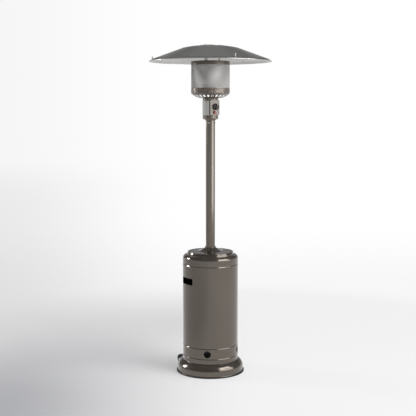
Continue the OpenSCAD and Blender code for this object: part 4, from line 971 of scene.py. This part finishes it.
def floor_level(tree, right, forward):
    """How bright that white is: less to the left and near the heater, where shade is painted on it, and
    full again past the camera.
    """
    reach = math_node(tree, "MAXIMUM", math_node(tree, "SUBTRACT", DISTANCE, forward), LEAST_REACH)
    side = math_node(tree, "DIVIDE", right, reach)
    # painted shade on the glow: to the left, and near the heater
    painted_left_shade = math_node(tree, "MULTIPLY", smooth_step(tree, side, -LEFT_FADE[0], -LEFT_FADE[1]),
                          smooth_step(tree, forward, *LEFT_SHADE_FORWARD, *LEFT_PAINTED_SHADE))
    painted_near_shade = smooth_step(tree, forward, *NEAR_SHADE_FORWARD, 0.0, 1.0 - FLOOR_NEAR)
    before = smooth_step(tree, forward, *SHADE_END_FORWARD)
    painted_glow_shade = math_node(tree, "MULTIPLY", math_node(tree, "ADD", painted_left_shade, painted_near_shade), before)
    return math_node(tree, "SUBTRACT", 1.0, painted_glow_shade)


def floor_material():
    """A pale floor with soft shadows and painted shade that dims it to the left in front; it turns white
    elsewhere, with painted light to the heater's right.
    """
    material, bsdf = shader("pale floor", FLOOR_GREY, roughness=0.9, specular=0.0)
    tree = material.node_tree
    where = tree.nodes.new("ShaderNodeTexCoord").outputs["Object"]
    right = towards(tree, where, BEARING + 90)
    forward = towards(tree, where, BEARING)
    # painted shade on the floor's colour, to the left and in front
    painted_shade = math_node(tree, "MULTIPLY", smooth_step(tree, right, *PAINTED_SHADE_RIGHT),
                    smooth_step(tree, forward, *PAINTED_SHADE_FORWARD))
    paint = blend_colours(material, painted_shade, FLOOR_GREY, FLOOR_PAINTED_SHADE, start=0.0, end=1.0)
    link(material, paint, bsdf.inputs["Base Color"])
    white = node(material, "ShaderNodeEmission")
    link(material, floor_level(tree, right, forward), white.inputs["Strength"])
    surface = mixed(tree, floor_white(tree, where, right), bsdf.outputs["BSDF"], white.outputs["Emission"])
    link(material, surface, tree.nodes["Material Output"].inputs["Surface"])
    return material


def make_floor():
    """A round floor that reaches far behind the heater."""
    fresh()
    bpy.ops.mesh.primitive_circle_add(vertices=96, radius=FLOOR_RADIUS, fill_type="NGON",
                                      location=(0, 0, 0))
    floor = start_piece("floor")
    floor.data.materials.append(floor_material())
    floor.select_set(False)


def make_camera():
    """The camera at the photograph's place."""
    data = bpy.data.cameras.new("photograph view")
    data.sensor_width = SENSOR_WIDTH
    data.lens = FOCAL_PIXELS / IMAGE_WIDTH * SENSOR_WIDTH
    camera = bpy.data.objects.new("photograph view", data)
    bpy.context.scene.collection.objects.link(camera)
    camera.location = around(BEARING, DISTANCE, EYE_HEIGHT)
    camera.rotation_euler = (math.radians(90 + PITCH), 0.0, math.radians(BEARING + YAW))
    bpy.context.scene.camera = camera


class HEATER_OT_stage(Operator):
    """Set up the floor, the studio light and the camera"""

    bl_idname = "heater.stage"
    bl_label = "Stage"

    def execute(self, context):
        make_floor()
        make_world()
        for name, settings in LAMPS.items():
            area_light(name, **settings)
        make_camera()
        context.scene.view_settings.view_transform = "Standard"
        return {"FINISHED"}


class HEATER_PT_panel(Panel):
    """Lists the heater's steps"""

    bl_label = "Patio heater"
    bl_idname = "HEATER_PT_panel"
    bl_space_type = "VIEW_3D"
    bl_region_type = "UI"
    bl_category = "Heater"

    def draw(self, context):
        for step in STEPS:
            self.layout.operator(step.bl_idname)
        for group in (context.scene.heater_sizes, context.scene.heater_colours):
            for name in group.__annotations__:
                self.layout.prop(group, name)


STEPS = (HEATER_OT_finishes, HEATER_OT_screen, HEATER_OT_pointer, HEATER_OT_treads, HEATER_OT_welds,
         HEATER_OT_clamps, HEATER_OT_hose, HEATER_OT_stage)
CLASSES = (HeaterSizes, HeaterColours, *STEPS, HEATER_PT_panel)


def register():
    """Registers the heater's classes and its settings."""
    for made in CLASSES:
        bpy.utils.register_class(made)
    bpy.types.Scene.heater_sizes = PointerProperty(type=HeaterSizes)
    bpy.types.Scene.heater_colours = PointerProperty(type=HeaterColours)


def unregister():
    """Takes the heater's classes and settings away."""
    del bpy.types.Scene.heater_colours
    del bpy.types.Scene.heater_sizes
    for made in reversed(CLASSES):
        bpy.utils.unregister_class(made)


def main():
    """Runs every step."""
    register()
    bpy.ops.heater.finishes()
    bpy.ops.heater.screen()
    bpy.ops.heater.pointer()
    bpy.ops.heater.treads()
    bpy.ops.heater.welds()
    bpy.ops.heater.clamps()
    bpy.ops.heater.hose()
    bpy.ops.heater.stage()


if __name__ == "__main__":
    main()
